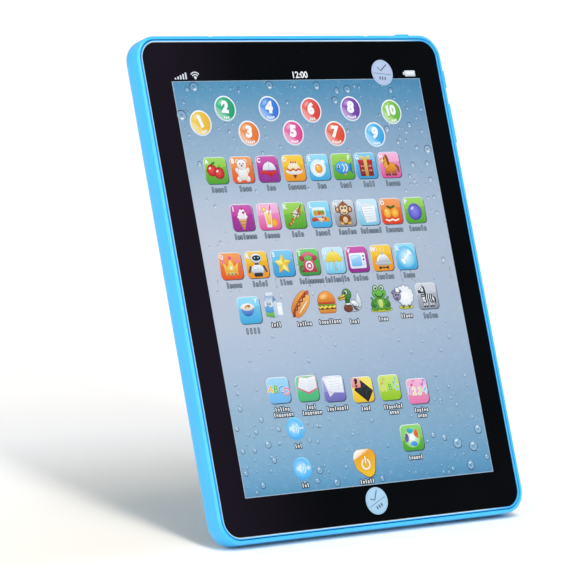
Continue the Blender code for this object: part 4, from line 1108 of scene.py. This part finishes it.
# The larger drops on the glass: each one's middle and radius
DROPS = (
    (-18, 95.5, 2.2), (-62.5, 95.3, 2.5), (-66.8, 94.3, 1.2), (-41.3, 94.2, 0.8), (-36.8, 93.0, 1.0),
    (-72.4, 81.6, 2.8), (-70, 87.9, 0.9), (-69.6, 83.6, 0.6), (-48, 77.2, 0.8), (-43.8, 77.0, 0.7),
    (-46.6, 73.4, 1.0), (-70.2, 72.3, 0.8), (-67.0, 58.3, 1.3), (-29, 62.6, 0.9), (-18, 65.3, 0.8),
    (-9.3, 87, 1.0), (-3, 94.8, 1.1), (10.5, 95, 2.1), (20.2, 87.6, 1.9), (22.3, 92.4, 1.6), (29, 93, 2.1),
    (33.6, 94.6, 0.9), (36.6, 94, 0.8), (56, 92.1, 1.4), (36.4, 89.5, 0.6), (15, 89, 0.6), (5.3, 93.5, 0.5),
    (24.6, 72.2, 1.1), (49.3, 72.7, 1.6), (46.2, 80, 0.7), (64.3, 83, 0.8), (65.3, 86.8, 0.6), (73, 82.5, 1),
    (69.0, 78.0, 0.8), (63.7, 74.5, 1.4), (57.3, 73.2, 0.7), (61.0, 71.0, 0.9), (70.8, 71.2, 0.9),
    (54.6, 66.0, 1.1), (56.4, 67.8, 0.8), (59.5, 66.5, 0.9), (65.8, 63.1, 1.1), (72.6, 62.0, 2.2),
    (23, 62.9, 0.6), (61.3, 54.5, 1.3), (70.5, 55.0, 1.2), (58.0, 48.7, 1.0), (60.5, 46.4, 0.9),
    (70.8, 46.8, 1.2), (67, 37.5, 0.8), (71, 37.8, 1.0), (71, 30.0, 0.9), (54.0, 41.6, 0.8), (69.5, 6.6, 1.1),
    (-66.5, 41.0, 0.7), (-63.0, 20.5, 0.8), (-69.8, -2.0, 0.6), (63.6, -24.0, 0.6), (-31.5, -33.5, 0.6),
    (20.5, -37.8, 0.6), (47.0, -33.0, 0.7), (-58.5, -36.0, 0.8), (69.3, -51.5, 0.9), (-69.0, -46.8, 0.9),
    (56.8, -83.8, 2.8), (66.3, -86.0, 2.6), (71.2, -78.0, 2.3), (62.5, -95.0, 2.3), (73.6, -92, 1.5),
    (49.2, -80.5, 1.5), (42.6, -78.8, 1.4), (69.2, -71.8, 0.9), (52.8, -86, 0.6), (60.7, -65.3, 0.9),
    (58, -61.7, 0.8), (51.2, -62.3, 0.8), (47.6, -61.6, 0.7), (60.3, -59.8, 0.7), (54.7, -75.3, 0.7),
    (54, -89.5, 0.6), (59.5, -89.4, 0.7), (51.1, -96.0, 1.2), (48.2, -97.5, 0.9), (45, -97.1, 0.9),
    (34.5, -97, 0.6), (28, -95.8, 0.8), (24, -95, 0.6), (12.5, -95.3, 0.6), (6.9, -97, 1.5), (28, -90.6, 0.7),
    (6.9, -69, 0.9), (2, -79.2, 0.6), (-20.3, -96.6, 1.9), (-31.4, -94.8, 1.4), (-29.0, -90.0, 1.8),
    (-13.3, -89.8, 1.0), (-15.3, -95.3, 0.6), (-24, -91.2, 0.7), (-56.2, -75.8, 1.7), (-54.3, -83.3, 1.4),
    (-63.3, -94.3, 1.5), (-67.3, -97.3, 1.0), (-71.3, -77.8, 1.3), (-64.5, -78.0, 1.1), (-61.8, -69.5, 1.1),
    (-66.5, -70.4, 0.8), (-63.5, -71.5, 0.6), (-48.7, -69.2, 1.2), (-46.1, -72.2, 0.8), (-57.7, -63.9, 1.3),
    (-68.7, -58.3, 1.2), (-72.4, -67.2, 1.2), (-62, -66.2, 0.6), (-68.5, -74.8, 0.6), (-25.8, -69.1, 1.0),
    (-28.8, -69.3, 0.6), (-31.3, -67.3, 0.8), (-31.8, -75.7, 0.9), (-27.2, -76.7, 0.9), (-18.5, -66.4, 0.6),
    (-15, -75.3, 0.6), (-28, -82, 0.6), (-11.2, -81.8, 0.7), (-71.8, -88, 1.3), (-70.4, -85.4, 0.7),
)


KEY_CAPTIONS = (
    (-44.6, -59.8, "tsttss"), (-44.4, -62.4, "tsssssss"), (-27.6, -60.0, "tsst"), (-27.6, -62.6, "tsssssss"),
    (-12.0, -61.7, "tsstssstt"), (4.7, -62.9, "tsst"), (21.4, -63.2, "ttssstst"), (21.4, -65.8, "ssss"),
    (38.2, -66.0, "tsstss"), (38.2, -68.6, "ssss"), (-39.0, -77.6, "tst"), (-39.0, -96.2, "tst"),
    (29.4, -88.4, "tsssst"), (-2.4, -97.4, "tststt"),
)


def put(a, x, v, picture, colours=None, mark=None, mark_x=0.0):
    """Draws a picture at a place, on its tile and with its corner letter if it has them."""
    a.at(x, v)
    if colours:
        tile(a, *colours)
    a.edge = OUTLINED.get(picture)
    picture(a)
    a.edge = None
    if mark:
        corner_letter(a, mark, mark_x, colours[1])
    a.at(0, 0)


def face_art():
    """Everything printed on the film that isn't on a key."""
    a = Art()
    for x, v, radius in DROPS:
        if clear_of_keys(x, v, radius):
            drop(a, x, v, radius)
    for v, caption_v, row in ROWS:
        for x, colours, mark, picture, pattern in row:
            put(a, x, v, picture, colours, mark, 4.4 if mark == "F" else -4.7)
            words(a, x, caption_v, pattern, 1.85 if len(pattern) < 8 else 1.65)
    put(a, -53.3, -12.3, bowl, SKY, "Y", 4.3)
    put(a, 54.8, -11.0, zebra, GREY)
    words(a, -53.3, -22.2, "tttt", 2.2)
    words(a, 54.8, -20.6, "tstss", 1.85)
    for x, v, picture, caption_v, pattern in LOOSE:
        put(a, x, v, picture)
        white_words(a, x, caption_v, pattern, 1.5)
    for x, v, pattern in KEY_CAPTIONS:
        white_words(a, x, v, pattern, 1.46)
    screen_edges(a)
    status_bar(a)
    return a


def screen_edges(a):
    """A fine pale line along each edge of the printed screen."""
    left, low, right, high = SCREEN
    for points, width in (
        (((left, low), (left, high)), 0.34), (((right, low), (right, high)), 0.3),
        (((left, low), (right, low)), 0.3), (((left, high), (right, high)), 0.2),
    ):
        a.line([(x * 0.9985, v * 0.9985) for x, v in points], width, "b4c6d6")


def status_bar(a):
    """Signal bars, arcs, a plain time and a battery."""
    for i in range(5):
        a.box(-72.6 + i * 1.55, 98.9, -71.7 + i * 1.55, 99.7 + i * 0.62, "dfe3e8", None, 0.2)
    a.disc(-60.6, 99.4, 0.55, "dfe3e8")
    for reach in (0.9, 2.0, 3.1):
        a.arc(-60.6, 99.2, reach, 45, 135, 0.55, "dfe3e8")
    a.text("12:00", 1.8, 100.5, 3.3, "ffffff")
    a.box(66.9, 99.0, 73.6, 102.0, "eceff3", "c3c8cf", 0.5)
    a.box(65.9, 99.8, 66.8, 101.2, "dfe3e8", None, 0.2)
    a.box(67.5, 99.6, 72.9, 101.4, "ffffff", "dfe3e8", 0.3)


# ---------------------------------------------------------------- keys

# Each number key: its middle, its numeral's tilt, how many marks it has, and its colours
NUMBER_KEYS = (
    (-62.2, 77.7, 28, 3, "f7d357", "eeb524"), (-46.5, 84.5, -10, 3, "3fbf8c", "1f9a68"),
    (-35.0, 72.2, -12, 5, "f79a4a", "ea6f28"), (-20.5, 84.0, -8, 4, "5a9be8", "2f6fd0"),
    (-8.7, 71.9, -10, 4, "f06fae", "de3f86"), (4.5, 82.9, -8, 3, "f2695c", "dd3230"),
    (16.8, 71.0, -10, 5, "f4704e", "e04428"), (29.0, 83.2, -14, 5, "9a5cc0", "6a3a9c"),
    (41.2, 70.0, -8, 4, "6cc8f2", "2fa0e0"), (54.0, 81.2, 10, 3, "9ad45a", "62b234"),
)
MARK_STEP = 15   # degrees from one mark under a numeral to the next


def number_art(a, number):
    """A coloured disc in a white ring, with a tilted numeral and a curved row of marks."""
    turn, marks, light, dark = NUMBER_KEYS[number - 1][2:]
    pale = blend(ink(light), (1.0, 1.0, 1.0), 0.35)
    a.disc(0, 0, 6.25, "fbfdff", "dfe9f1")
    a.fill(circle(0, 0, 5.55, 40), light, dark, lean=165)
    a.fill(arc_points(0, 0, 5.5, 165, 300, 20), ink(light), pale, lean=40)
    a.glow(-2.2, 3.1, 2.4, 1.3, pale, light, 35)
    size = 6.2 if number < 10 else 5.3
    a.text(str(number), 0.2, 0.6, size + 0.3, dark, turn * 0.6, 0.075)
    a.text(str(number), -0.05, 0.85, size, WHITE, turn * 0.6, 0.07)
    for i in range(marks):
        angle = -86 + turn * 0.5 + (i - (marks - 1) / 2) * MARK_STEP
        a.oval(*polar(angle, 4.45), 0.42, 0.6, "f6fafc", None, angle + 90)


def key_tile(a, light, dark, wide=6.5, high=6.3):
    """The same rounded square, as it fills a key."""
    a.box(-wide + 0.25, -high - 0.1, wide + 0.1, high - 0.3, "5a6874", "3a444e", 2.4)
    a.box(-wide, -high + 0.35, wide - 0.35, high, "ffffff", dark, 2.3)
    edges = (-wide + 0.3, -high + 0.4, wide - 0.5, high - 0.3)
    glossy_square(a, *edges, 2.1, light, dark, (-1.2, -0.2), lightened(light, 0.75, 62))


def letters_art(a):
    key_tile(a, "8fd0f6", "74b8ea")
    for text, x, y, colour in (("A", -4.75, 0.9, "f4c23e"), ("B", -1.6, 0.8, "6cc04a"),
                               ("C", 1.5, 0.3, "4fa8ea"), ("D", 4.6, -0.7, "e887a6")):
        a.text(text, x + 0.1, y - 0.1, 4.1, "3c6f96", -6, 0.07)
        a.text(text, x, y, 3.9, "f6fbff", -6, 0.075)
        a.text(text, x, y, 3.6, colour, -6, 0.035)


def words_art(a):
    key_tile(a, "62cf8e", "4bb675")
    a.fill([(-6.1, 0.4), (-3.9, 5.9), (0.2, 5.2), (5.7, 6.0), (5.9, -0.6), (0.4, -2.6)], "e9a8b8", "c9607c")
    a.fill([(-5.5, 0.9), (-3.6, 5.6), (0.2, 4.9), (0.3, -1.7)], "ffffff", "e6e3ea")
    a.fill([(0.2, 4.9), (5.4, 5.7), (5.5, 0.0), (0.3, -1.7)], "fbfbfd", "dfe0e8")
    for i in range(3):
        a.line([(-3.6 - i * 0.4, 4.0 - i * 1.2), (-0.6, 3.2 - i * 1.2)], 0.2, "dcdce6")
        a.line([(1.0, 3.3 - i * 1.2), (4.6, 4.0 - i * 1.2)], 0.2, "dcdce6")


def spelling_art(a):
    key_tile(a, "9a96d8", "6f69b4")
    a.fill([(-5.9, 5.4), (-1.0, 6.1), (5.7, 5.6), (5.6, -2.2), (0.4, -1.4), (-3.2, -3.6)], "f7f7fa", "d5d6e2")
    a.fill([(-4.4, 4.6), (5.3, 5.0), (5.4, -2.0), (-0.2, -1.7), (-2.9, -3.5)], "ffffff", "e4e5ee")
    for i in range(4):
        a.line([(-2.9 + i * 0.2, 3.5 - i * 1.3), (4.0, 3.7 - i * 1.3)], 0.2, "d0d2de")
    a.fill([(-3.2, -3.6), (-0.2, -1.7), (-3.4, -0.6)], "c3c5d6", "f0f0f5")


def quiz_art(a):
    key_tile(a, "f9e04a", "eec21e")
    a.fill(rounded([(-4.6, 0.2), (2.0, -5.3), (5.4, -0.8), (-1.0, 4.4)], 0.5, 3), "1c1d20", "08090b")
    a.fill([(-4.3, 0.3), (2.0, -4.9), (5.0, -0.8), (-1.0, 4.0)], "2a2c31", "121417")
    a.box(-6.3, 1.2, -0.9, 6.0, "f7b9b0", "ec8a80", 0.8)
    a.text("?", -3.6, 3.6, 4.3, "1c1416", 0, 0.09)


def letter_song_art(a):
    key_tile(a, "c6e04a", "94c422")
    note(a, -3.6, 3.3, "e9a06a")
    note(a, 3.6, 3.3, "6cc0e8")
    for text, x, y, colour, size in (("A", -3.6, -0.1, "e2d65a", 3.0), ("B", 0.4, 0.3, "6cb83a", 3.3),
                                     ("C", 4.2, 0.0, "8fd0e8", 3.0)):
        a.text(text, x, y, size + 0.2, "eef6d0", 0, 0.06)
        a.text(text, x, y, size, colour, 0, 0.03)


def note(a, x, y, colour):
    a.oval(x - 0.7, y - 1.0, 0.75, 0.55, colour, None, 20)
    a.line([(x - 0.1, y - 0.9), (x + 0.3, y + 1.5)], 0.3, colour)
    a.line([(x + 0.3, y + 1.4), (x + 1.2, y + 0.8)], 0.45, colour)


def number_song_art(a):
    key_tile(a, "f7a3c8", "ec78ab")
    note(a, -2.6, 4.2, "e4508c")
    note(a, 3.9, 4.2, "8a7cd8")
    for text, x, y, colour in (("1", -5.1, 0.7, "5aa6e4"), ("2", -2.1, 0.2, "f6dc9a"),
                               ("3", 1.3, 0.0, "cfe39a"), ("4", 4.5, 0.6, "a6dcef")):
        a.text(text, x + 0.1, y - 0.1, 4.5, "c9578c", -4, 0.07)
        a.text(text, x, y, 4.4, "fffafc", -4, 0.07)
        a.text(text, x, y, 4.0, colour, -4, 0.01)


def repeat_art(a):
    """Four turning petals round a white middle."""
    key_tile(a, "7ccc4a", "46a02c", 6.8, 6.5)
    a.glow(-0.2, 0.2, 5.0, 5.0, "ffffff", "8fd066")
    for angle, colour, lower in (
        (105, "3fb8cc", "1f9ab4"), (32, "f2703a", "d9481f"),
        (-74, "4fa8ec", "2f86d4"), (188, "5f4a8c", "7c68a8"),
    ):
        a.oval(*polar(angle, 3.3, -0.2, 0.2), 1.85, 1.25, colour, lower, angle + 62)
        a.disc(*polar(angle - 30, 3.4, -0.2, 0.2), 0.75, colour)
    a.glow(-0.2, 0.2, 1.7, 1.7, "ffffff", "f2f8f0")


def volume_art(a, plus):
    icon = "d9f0fd"
    a.fill(circle(0, 0, 5.35, 40), "8cd6fa", "45aef0")
    a.glow(-0.6, 0.3, 4.6, 4.3, "b4e6fd", "5cbcf5")
    a.fill([(-3.5, -0.9), (-3.5, 0.9), (-2.3, 0.9), (-0.7, 2.3), (-0.7, -2.3), (-2.3, -0.9)], icon)
    a.arc(-0.9, 0, 1.5, -50, 50, 0.55, icon)
    a.arc(-0.9, 0, 2.7, -50, 50, 0.55, icon)
    a.line([(2.6, 0), (4.4, 0)], 0.7, icon)
    if plus:
        a.line([(3.5, -0.9), (3.5, 0.9)], 0.7, icon)


POWER_MIDDLE = (-1.5, -88.0)
POWER_CORNERS = ((-4.2, -86.3), (-3.6, -89.3), (-0.1, -91.7), (1.1, -86.2))


def power_art(a):
    """The on/off key: an orange drop with a pale corner and the power mark."""
    centres = [(x - POWER_MIDDLE[0], v - POWER_MIDDLE[1]) for x, v in POWER_CORNERS]
    a.fill(rounded(centres, 4.15, 10), "e0a24a", "3d3210", lean=130)
    body = [(x - 0.12, y + 0.16) for x, y in rounded(centres, 3.9, 10)]
    a.fill(body, "f59c14", "f4c62a", lean=100)
    a.fill([p for p in body if p[1] > 1.9 + p[0] * 0.62], "ffd9a0", "f6a63a", lean=122)
    a.fill([p for p in body if p[1] > 3.4 + p[0] * 0.6], "ffffff", "ffdcae", lean=122)
    for grow, colour in ((0.35, "dd8a14"), (0.0, "fff6dc")):
        a.arc(0.1, -1.3, 2.35, 122, 418, 0.85 + grow, colour)
        a.line([(0.1, -0.7), (0.1, 2.2)], 0.8 + grow, colour)


MODE_KEYS = {
    "key_letters": (-44.6, -51.0, letters_art),
    "key_words": (-27.8, -51.2, words_art),
    "key_spelling": (-12.2, -52.4, spelling_art),
    "key_quiz": (4.9, -54.0, quiz_art),
    "key_letter_song": (21.3, -54.1, letter_song_art),
    "key_number_song": (38.1, -57.0, number_song_art),
}


def round_key(x, v, radius):
    return lambda grow: circle(x, v, radius + grow, 48)


def square_key(x, v, wide, high, corner):
    return lambda g: block(x - wide - g, v - high - g, x + wide + g, v + high + g, corner + g)


def key_shapes():
    """Each key's name, outline maker, middle and art."""
    shapes = []
    for i, (x, v, *_) in enumerate(NUMBER_KEYS, 1):
        shapes.append((f"key_number_{i}", round_key(x, v, 6.2), (x, v), lambda a, i=i: number_art(a, i)))
    for name, (x, v, art) in MODE_KEYS.items():
        shapes.append((name, square_key(x, v, 6.7, 6.5, 2.6), (x, v), art))
    shapes.append(("key_repeat", square_key(29.5, -79.0, 7.0, 6.7, 2.8), (29.5, -79.0), repeat_art))
    for name, v, plus in (("key_volume_down", -69.4, False), ("key_volume_up", -88.2, True)):
        art = lambda a, plus=plus: volume_art(a, plus)
        shapes.append((name, round_key(-39.0, v, 5.4), (-39.0, v), art))
    power = lambda grow: rounded(POWER_CORNERS, 4.2 + grow, 10)
    shapes.append(("key_on_off", power, POWER_MIDDLE, power_art))
    return shapes


def casing_outline(inset):
    corner = CASING_CORNER - inset
    across, up = [half - inset - corner for half in CASING_HALF]
    return rounded([(across, -up), (across, up), (-across, up), (-across, -up)], corner, 14)


def printed_face():
    """The film: a black border around the printed screen, with a hole at each key."""
    mesh = printed_mesh()
    screen = block(*SCREEN)
    holes = [outline(HOLE_GAP)[::-1] for _, outline, _, _ in key_shapes()]
    slab(mesh, [casing_outline(FILM_INSET), screen[::-1]], FILM_FRONT, FILM_BACK, BLACK)
    slab(mesh, [screen] + holes, FILM_FRONT, FILM_BACK, WALL)
    face_art().build(mesh, FILM_FRONT, INK)
    piece("printed_face", mesh, FACE_MATERIALS, "tablet", "printed_film")


def key_pieces():
    for name, outline, middle, draw in key_shapes():
        mesh = printed_mesh()
        slab(mesh, [outline(KEY_GAP)], FILM_FRONT, FILM_BACK, WALL)
        a = Art().at(*middle)
        draw(a)
        a.build(mesh, FILM_FRONT, INK)
        piece(name + "_print", mesh, FACE_MATERIALS, name, name)


def sticker(name, x, v, turn, pale, shade):
    """A round pale inspection sticker: a tick over a line, and a row of marks under it."""
    mesh = printed_mesh()
    slab(mesh, [circle(x, v, 6.5, 56)], STICKER_FRONT, FILM_FRONT, 0)
    a = Art().at(x, v, turn)
    a.fill(circle(0, 0, 6.4, 56), pale, shade)
    a.ring(0, 0, 5.95, 5.8, "86a4c0")
    a.line([(-2.6, 2.3), (-0.9, 0.9), (2.7, 4.2)], 0.6, "4a5668")
    a.line([(-5.2, -0.6), (5.2, -0.6)], 0.3, "5f7088")
    for i in range(3):
        a.box(-2.1 + i * 1.6, -3.7, -1.3 + i * 1.6, -2.0, "4f5c70", None, 0.3)
    a.build(mesh, STICKER_FRONT, 1)
    paper = Material("sticker_base")
    paper.colour(paper.mix(paper.noise(700.0), ink(pale), ink(shade)))
    paper.rough(0.4, 0.5, 200.0)
    piece(name + "_print", mesh, (paper.made, sticker_ink), "tablet", name)


sticker_ink = printed_ink("sticker_ink", "fdfdfd", 0.05, 0.38, 0.48, Specular_IOR_Level=0.4)
printed_face()
key_pieces()
sticker("sticker_top", 52.7, 101.0, -6, "a9bad8", "a3b5d2")
sticker("sticker_bottom", 1.0, -107.1, 24, "a0c6e0", "98bfd9")


# ---------------------------------------------------------------- CAD nodes: materials and smooth shading

casing = ink("3cbcfb")
casing_blue = plastic("casing_blue", casing, 0.20, 0.27, 1500.0, 0.000003, 0.03, Specular_IOR_Level=0.55)


def ring_material():
    """The ring's blue plastic, with a painted highlight: a thin pale line along its inner edge that fades out
    on the right side.
    """
    m = Material("ring_blue", Specular_IOR_Level=0.6)
    corner = CASING_CORNER - RING_INSIDE
    across, up = [(half - RING_INSIDE - corner) * MM for half in CASING_HALF]
    placed = m.vector("ABSOLUTE", m.vector("SUBTRACT", m.place(), (0.0, 0.0, FACE_Z * MM)))
    past = m.vector("SUBTRACT", m.vector("MULTIPLY", placed, (1.0, 0.0, 1.0)), (across, 0.0, up))
    reach = m.node("VectorMath", 1, operation="LENGTH", s0=m.vector("MAXIMUM", past))
    # painted highlight: a pale line on the ring's inner edge, faded out towards the right side
    highlight_fade = m.step(m.axis(0), 84 * MM, 60 * MM)
    edge = m.times(highlight_fade, m.step(reach, (corner + 0.42) * MM, (corner + 0.3) * MM))
    shade = m.step(m.noise(22.0, 4.0), 0.3, 0.7)
    blue = ink("38aef0")
    blue = m.mix(shade, blend(blue, (0.0, 0.0, 0.0), 0.03), blend(blue, (1.0, 1.0, 1.0), 0.02))
    # mixes the painted highlight's pale colour into the blue
    m.colour(m.mix(edge, blue, ink("d9ecf7")))
    m.rough(0.12, 0.18, 60.0)
    m.bump(m.noise(1500.0, 2.0), 0.000002)
    return m.made


ring_blue = ring_material()
film_clear = plastic("circuit_film", ink("d8dcd8"), 0.3, 0.4)
board = plastic("board_green", ink("2c8a4a"), 0.3, 0.45, 600.0, 0.00002, 0.25)
resin = plastic("chip_resin", ink("15161a"), 0.18, 0.3, 300.0, 0.00003, 0.2)
sleeve = plastic("capacitor_sleeve", ink("1c3a6a"), 0.3, 0.4)
nylon = plastic("connector_nylon", ink("e6e2d4"), 0.4, 0.5)
steel = metal("screw_steel", ink("c3c5c8"), 0.22, 0.38)
plated = metal("plated_sheet", ink("cfd0cf"), 0.18, 0.34)
paper_cone = plastic("speaker_paper", ink("26262a"), 0.6, 0.75, 900.0, 0.00003, 0.3)
ferrite = metal("magnet", ink("70737a"), 0.4, 0.55)
red = plastic("wire_red", ink("b3161c"), 0.35, 0.45)
dark = plastic("wire_black", ink("17181a"), 0.35, 0.45)


CELL_MIDDLE_Z = 128.0


def cell_material(name, up):
    """A cell's wrap: a dark body, a coloured band at its positive end, bare steel at both ends."""
    m = Material(name)
    z = m.times(m.axis(2), PER_METRE)
    along = m.times(m.sum("SUBTRACT", z, CELL_MIDDLE_Z), 1.0 if up else -1.0)
    cloud = m.step(m.noise(90.0, 3.0), 0.3, 0.7)
    body = m.mix(cloud, ink("3a4048"), ink("474e58"))
    band = m.step(along, 9.0, 9.2)
    body = m.mix(band, body, ink("c9762f"))
    stripe = m.times(m.step(along, 8.2, 8.4), m.sum("SUBTRACT", 1.0, band))
    body = m.mix(stripe, body, ink("e9e4d8"))
    ends = m.sum("MAXIMUM", m.step(along, 21.6, 21.8), m.step(along, -19.6, -19.8))
    m.colour(m.mix(ends, body, ink("c9cacb")))
    m.feed(m.shader.inputs["Metallic"], m.sum("MULTIPLY_ADD", ends, 0.7, 0.3))
    m.rough(0.25, 0.38, 120.0)
    return m.made


WELD_DISTANCE = 0.000002
SHARP_ANGLE = math.radians(32)
LOOKS = {
    "rear_shell": casing_blue, "front_housing": ring_blue, "battery_door": casing_blue,
    "circuit_board": board, "chip_blob": resin, "capacitor": sleeve, "cable_connector": nylon,
    "membrane_tail": film_clear, "membrane_top_circuit": film_clear, "membrane_spacer": film_clear,
    "membrane_bottom_circuit": film_clear, "speaker_basket": plated, "speaker_cone": paper_cone,
    "speaker_magnet": ferrite, "wire_battery_positive": red, "wire_speaker_positive": red,
    "wire_battery_negative": dark, "wire_speaker_negative": dark,
    "battery_1": cell_material("cell_1", True), "battery_2": cell_material("cell_2", False),
    "battery_3": cell_material("cell_3", True),
}
for name in frame["nodes"]:
    if "screw" in name:
        LOOKS[name] = steel
    elif name.startswith("contact"):
        LOOKS[name] = plated

for name, look in LOOKS.items():
    node = frame["nodes"][name]
    node.data.materials.clear()
    node.data.materials.append(look)
    node.data.shade_smooth()
    weld = node.modifiers.new("weld", "WELD")
    weld.merge_threshold = WELD_DISTANCE
    split = node.modifiers.new("edges", "EDGE_SPLIT")
    split.split_angle = SHARP_ANGLE


# ---------------------------------------------------------------- stage

LEAN = math.radians(20.0)
FLOOR_SIZE = 12.0
FLOOR_DROP = 0.0001
BACKFACING = 6   # the output of the geometry node that tells a face's back


def leaning_floor():
    """A pale floor through the tablet's foot, which leans up behind it."""
    mesh = bmesh.new()
    slope = (math.cos(LEAN), math.sin(LEAN))
    corners = [(x * FLOOR_SIZE, y * FLOOR_SIZE) for x, y in ((-1, -1), (1, -1), (1, 1), (-1, 1))]
    mesh.faces.new([mesh.verts.new((x, y * slope[0], y * slope[1] - FLOOR_DROP)) for x, y in corners])
    data = bpy.data.meshes.new("floor")
    mesh.to_mesh(data)
    mesh.free()
    data.materials.append(floor_material())
    floor = bpy.data.objects.new("floor", data)
    bpy.context.collection.objects.link(floor)
    return floor


def floor_material():
    """White, with a warm tint painted into the shadow behind the tablet's left side, taking the blue bounce
    out of that shade. Its underside is clear, for low views from behind.
    """
    pale = Material("floor_pale", Roughness=0.8, Specular_IOR_Level=0.1)
    # painted shade tint: a warm patch where the tablet's shadow falls, behind it and to its left
    around = pale.step(pale.node("VectorMath", 1, operation="LENGTH", s0=pale.place()), 0.28, 0.10)
    behind = pale.step(pale.axis(1), -0.02, 0.03)
    left = pale.step(pale.axis(0), 0.12, 0.05)
    near = pale.times(left, pale.times(around, behind))
    white = pale.mix(pale.noise(3.0), ink("fdfcfa"), ink("fbf9f7"))
    pale.colour(pale.mix(near, white, ink("f6eee2")))
    under = pale.node("NewGeometry", BACKFACING)
    clear = pale.node("BsdfTransparent")
    both = pale.node("MixShader", s0=under, s1=pale.shader.outputs[0], s2=clear)
    pale.feed(pale.tree.nodes["Material Output"].inputs["Surface"], both)
    return pale.made


floor = leaning_floor()


AMBIENT = 0.5
DIM_SIDE = (0.70, -0.69, 0.17)


def studio():
    """A white room, dimmer to the front right, where the face would mirror it."""
    room = bpy.data.worlds.new("studio")
    bpy.context.scene.world = room
    room.use_nodes = True
    tree = room.node_tree
    back = tree.nodes["Background"]
    place = tree.nodes.new("ShaderNodeTexCoord").outputs["Generated"]
    facing = tree.nodes.new("ShaderNodeVectorMath")
    facing.operation = "DOT_PRODUCT"
    facing.inputs[1].default_value = Vector(DIM_SIDE).normalized()
    tree.links.new(place, facing.inputs[0])
    ramp = tree.nodes.new("ShaderNodeMapRange")
    ramp.interpolation_type = "SMOOTHSTEP"
    ramp.inputs["From Min"].default_value = 0.80
    ramp.inputs["From Max"].default_value = 1.0
    ramp.inputs["To Min"].default_value = AMBIENT
    ramp.inputs["To Max"].default_value = AMBIENT * 0.15
    tree.links.new(facing.outputs["Value"], ramp.inputs["Value"])
    seen = tree.nodes.new("ShaderNodeLightPath").outputs["Is Camera Ray"]
    bright = tree.nodes.new("ShaderNodeMath")
    bright.operation = "MAXIMUM"
    tree.links.new(seen, bright.inputs[0])
    tree.links.new(ramp.outputs[0], bright.inputs[1])
    tree.links.new(bright.outputs[0], back.inputs["Strength"])
    back.inputs["Color"].default_value = (1.0, 1.0, 1.0, 1.0)


# Each light: the side that it comes from, its height in degrees, its strength, and its width in degrees
FRONT = (-0.19, -0.98)
LEFT = (-0.99, -0.12)
LIGHTS = (
    (FRONT, 17, 0.24, 8), (FRONT, 27, 0.3, 9), (FRONT, 38, 0.42, 10), (FRONT, 50, 0.5, 11),
    (FRONT, 62, 0.52, 12), (FRONT, 77, 0.62, 18), (LEFT, 10, 0.9, 40),
)


def sun(name, side, height, strength, width):
    """Soft light from one side, at a height above the leaning floor."""
    data = bpy.data.lights.new(name, "SUN")
    data.energy = strength
    data.angle = math.radians(width)
    lamp = bpy.data.objects.new(name, data)
    bpy.context.collection.objects.link(lamp)
    level = math.cos(math.radians(height))
    towards = Vector((side[0] * level, side[1] * level, math.sin(math.radians(height))))
    turned = Matrix.Rotation(LEAN, 3, "X") @ towards
    lamp.rotation_mode = "QUATERNION"
    lamp.rotation_quaternion = turned.to_track_quat("Z", "Y")


studio()
for i, light in enumerate(LIGHTS):
    sun(f"soft_light_{i}", *light)

LENS = 208.7
SENSOR_WIDTH = 36.0
CAMERA_PLACE = (
    (0.7890, 0.0484, -0.6126, -0.9872),
    (-0.5890, -0.2252, -0.7763, -1.2232),
    (-0.1755, 0.9732, -0.1491, -0.1163),
    (0.0, 0.0, 0.0, 1.0),
)
camera_data = bpy.data.cameras.new("camera")
camera_data.lens = LENS
camera_data.sensor_width = SENSOR_WIDTH
camera_data.clip_start = 0.05
camera_data.clip_end = 60.0
camera = bpy.data.objects.new("camera", camera_data)
bpy.context.collection.objects.link(camera)
camera.matrix_world = Matrix(CAMERA_PLACE)
bpy.context.scene.camera = camera
bpy.context.scene.view_settings.view_transform = "Standard"
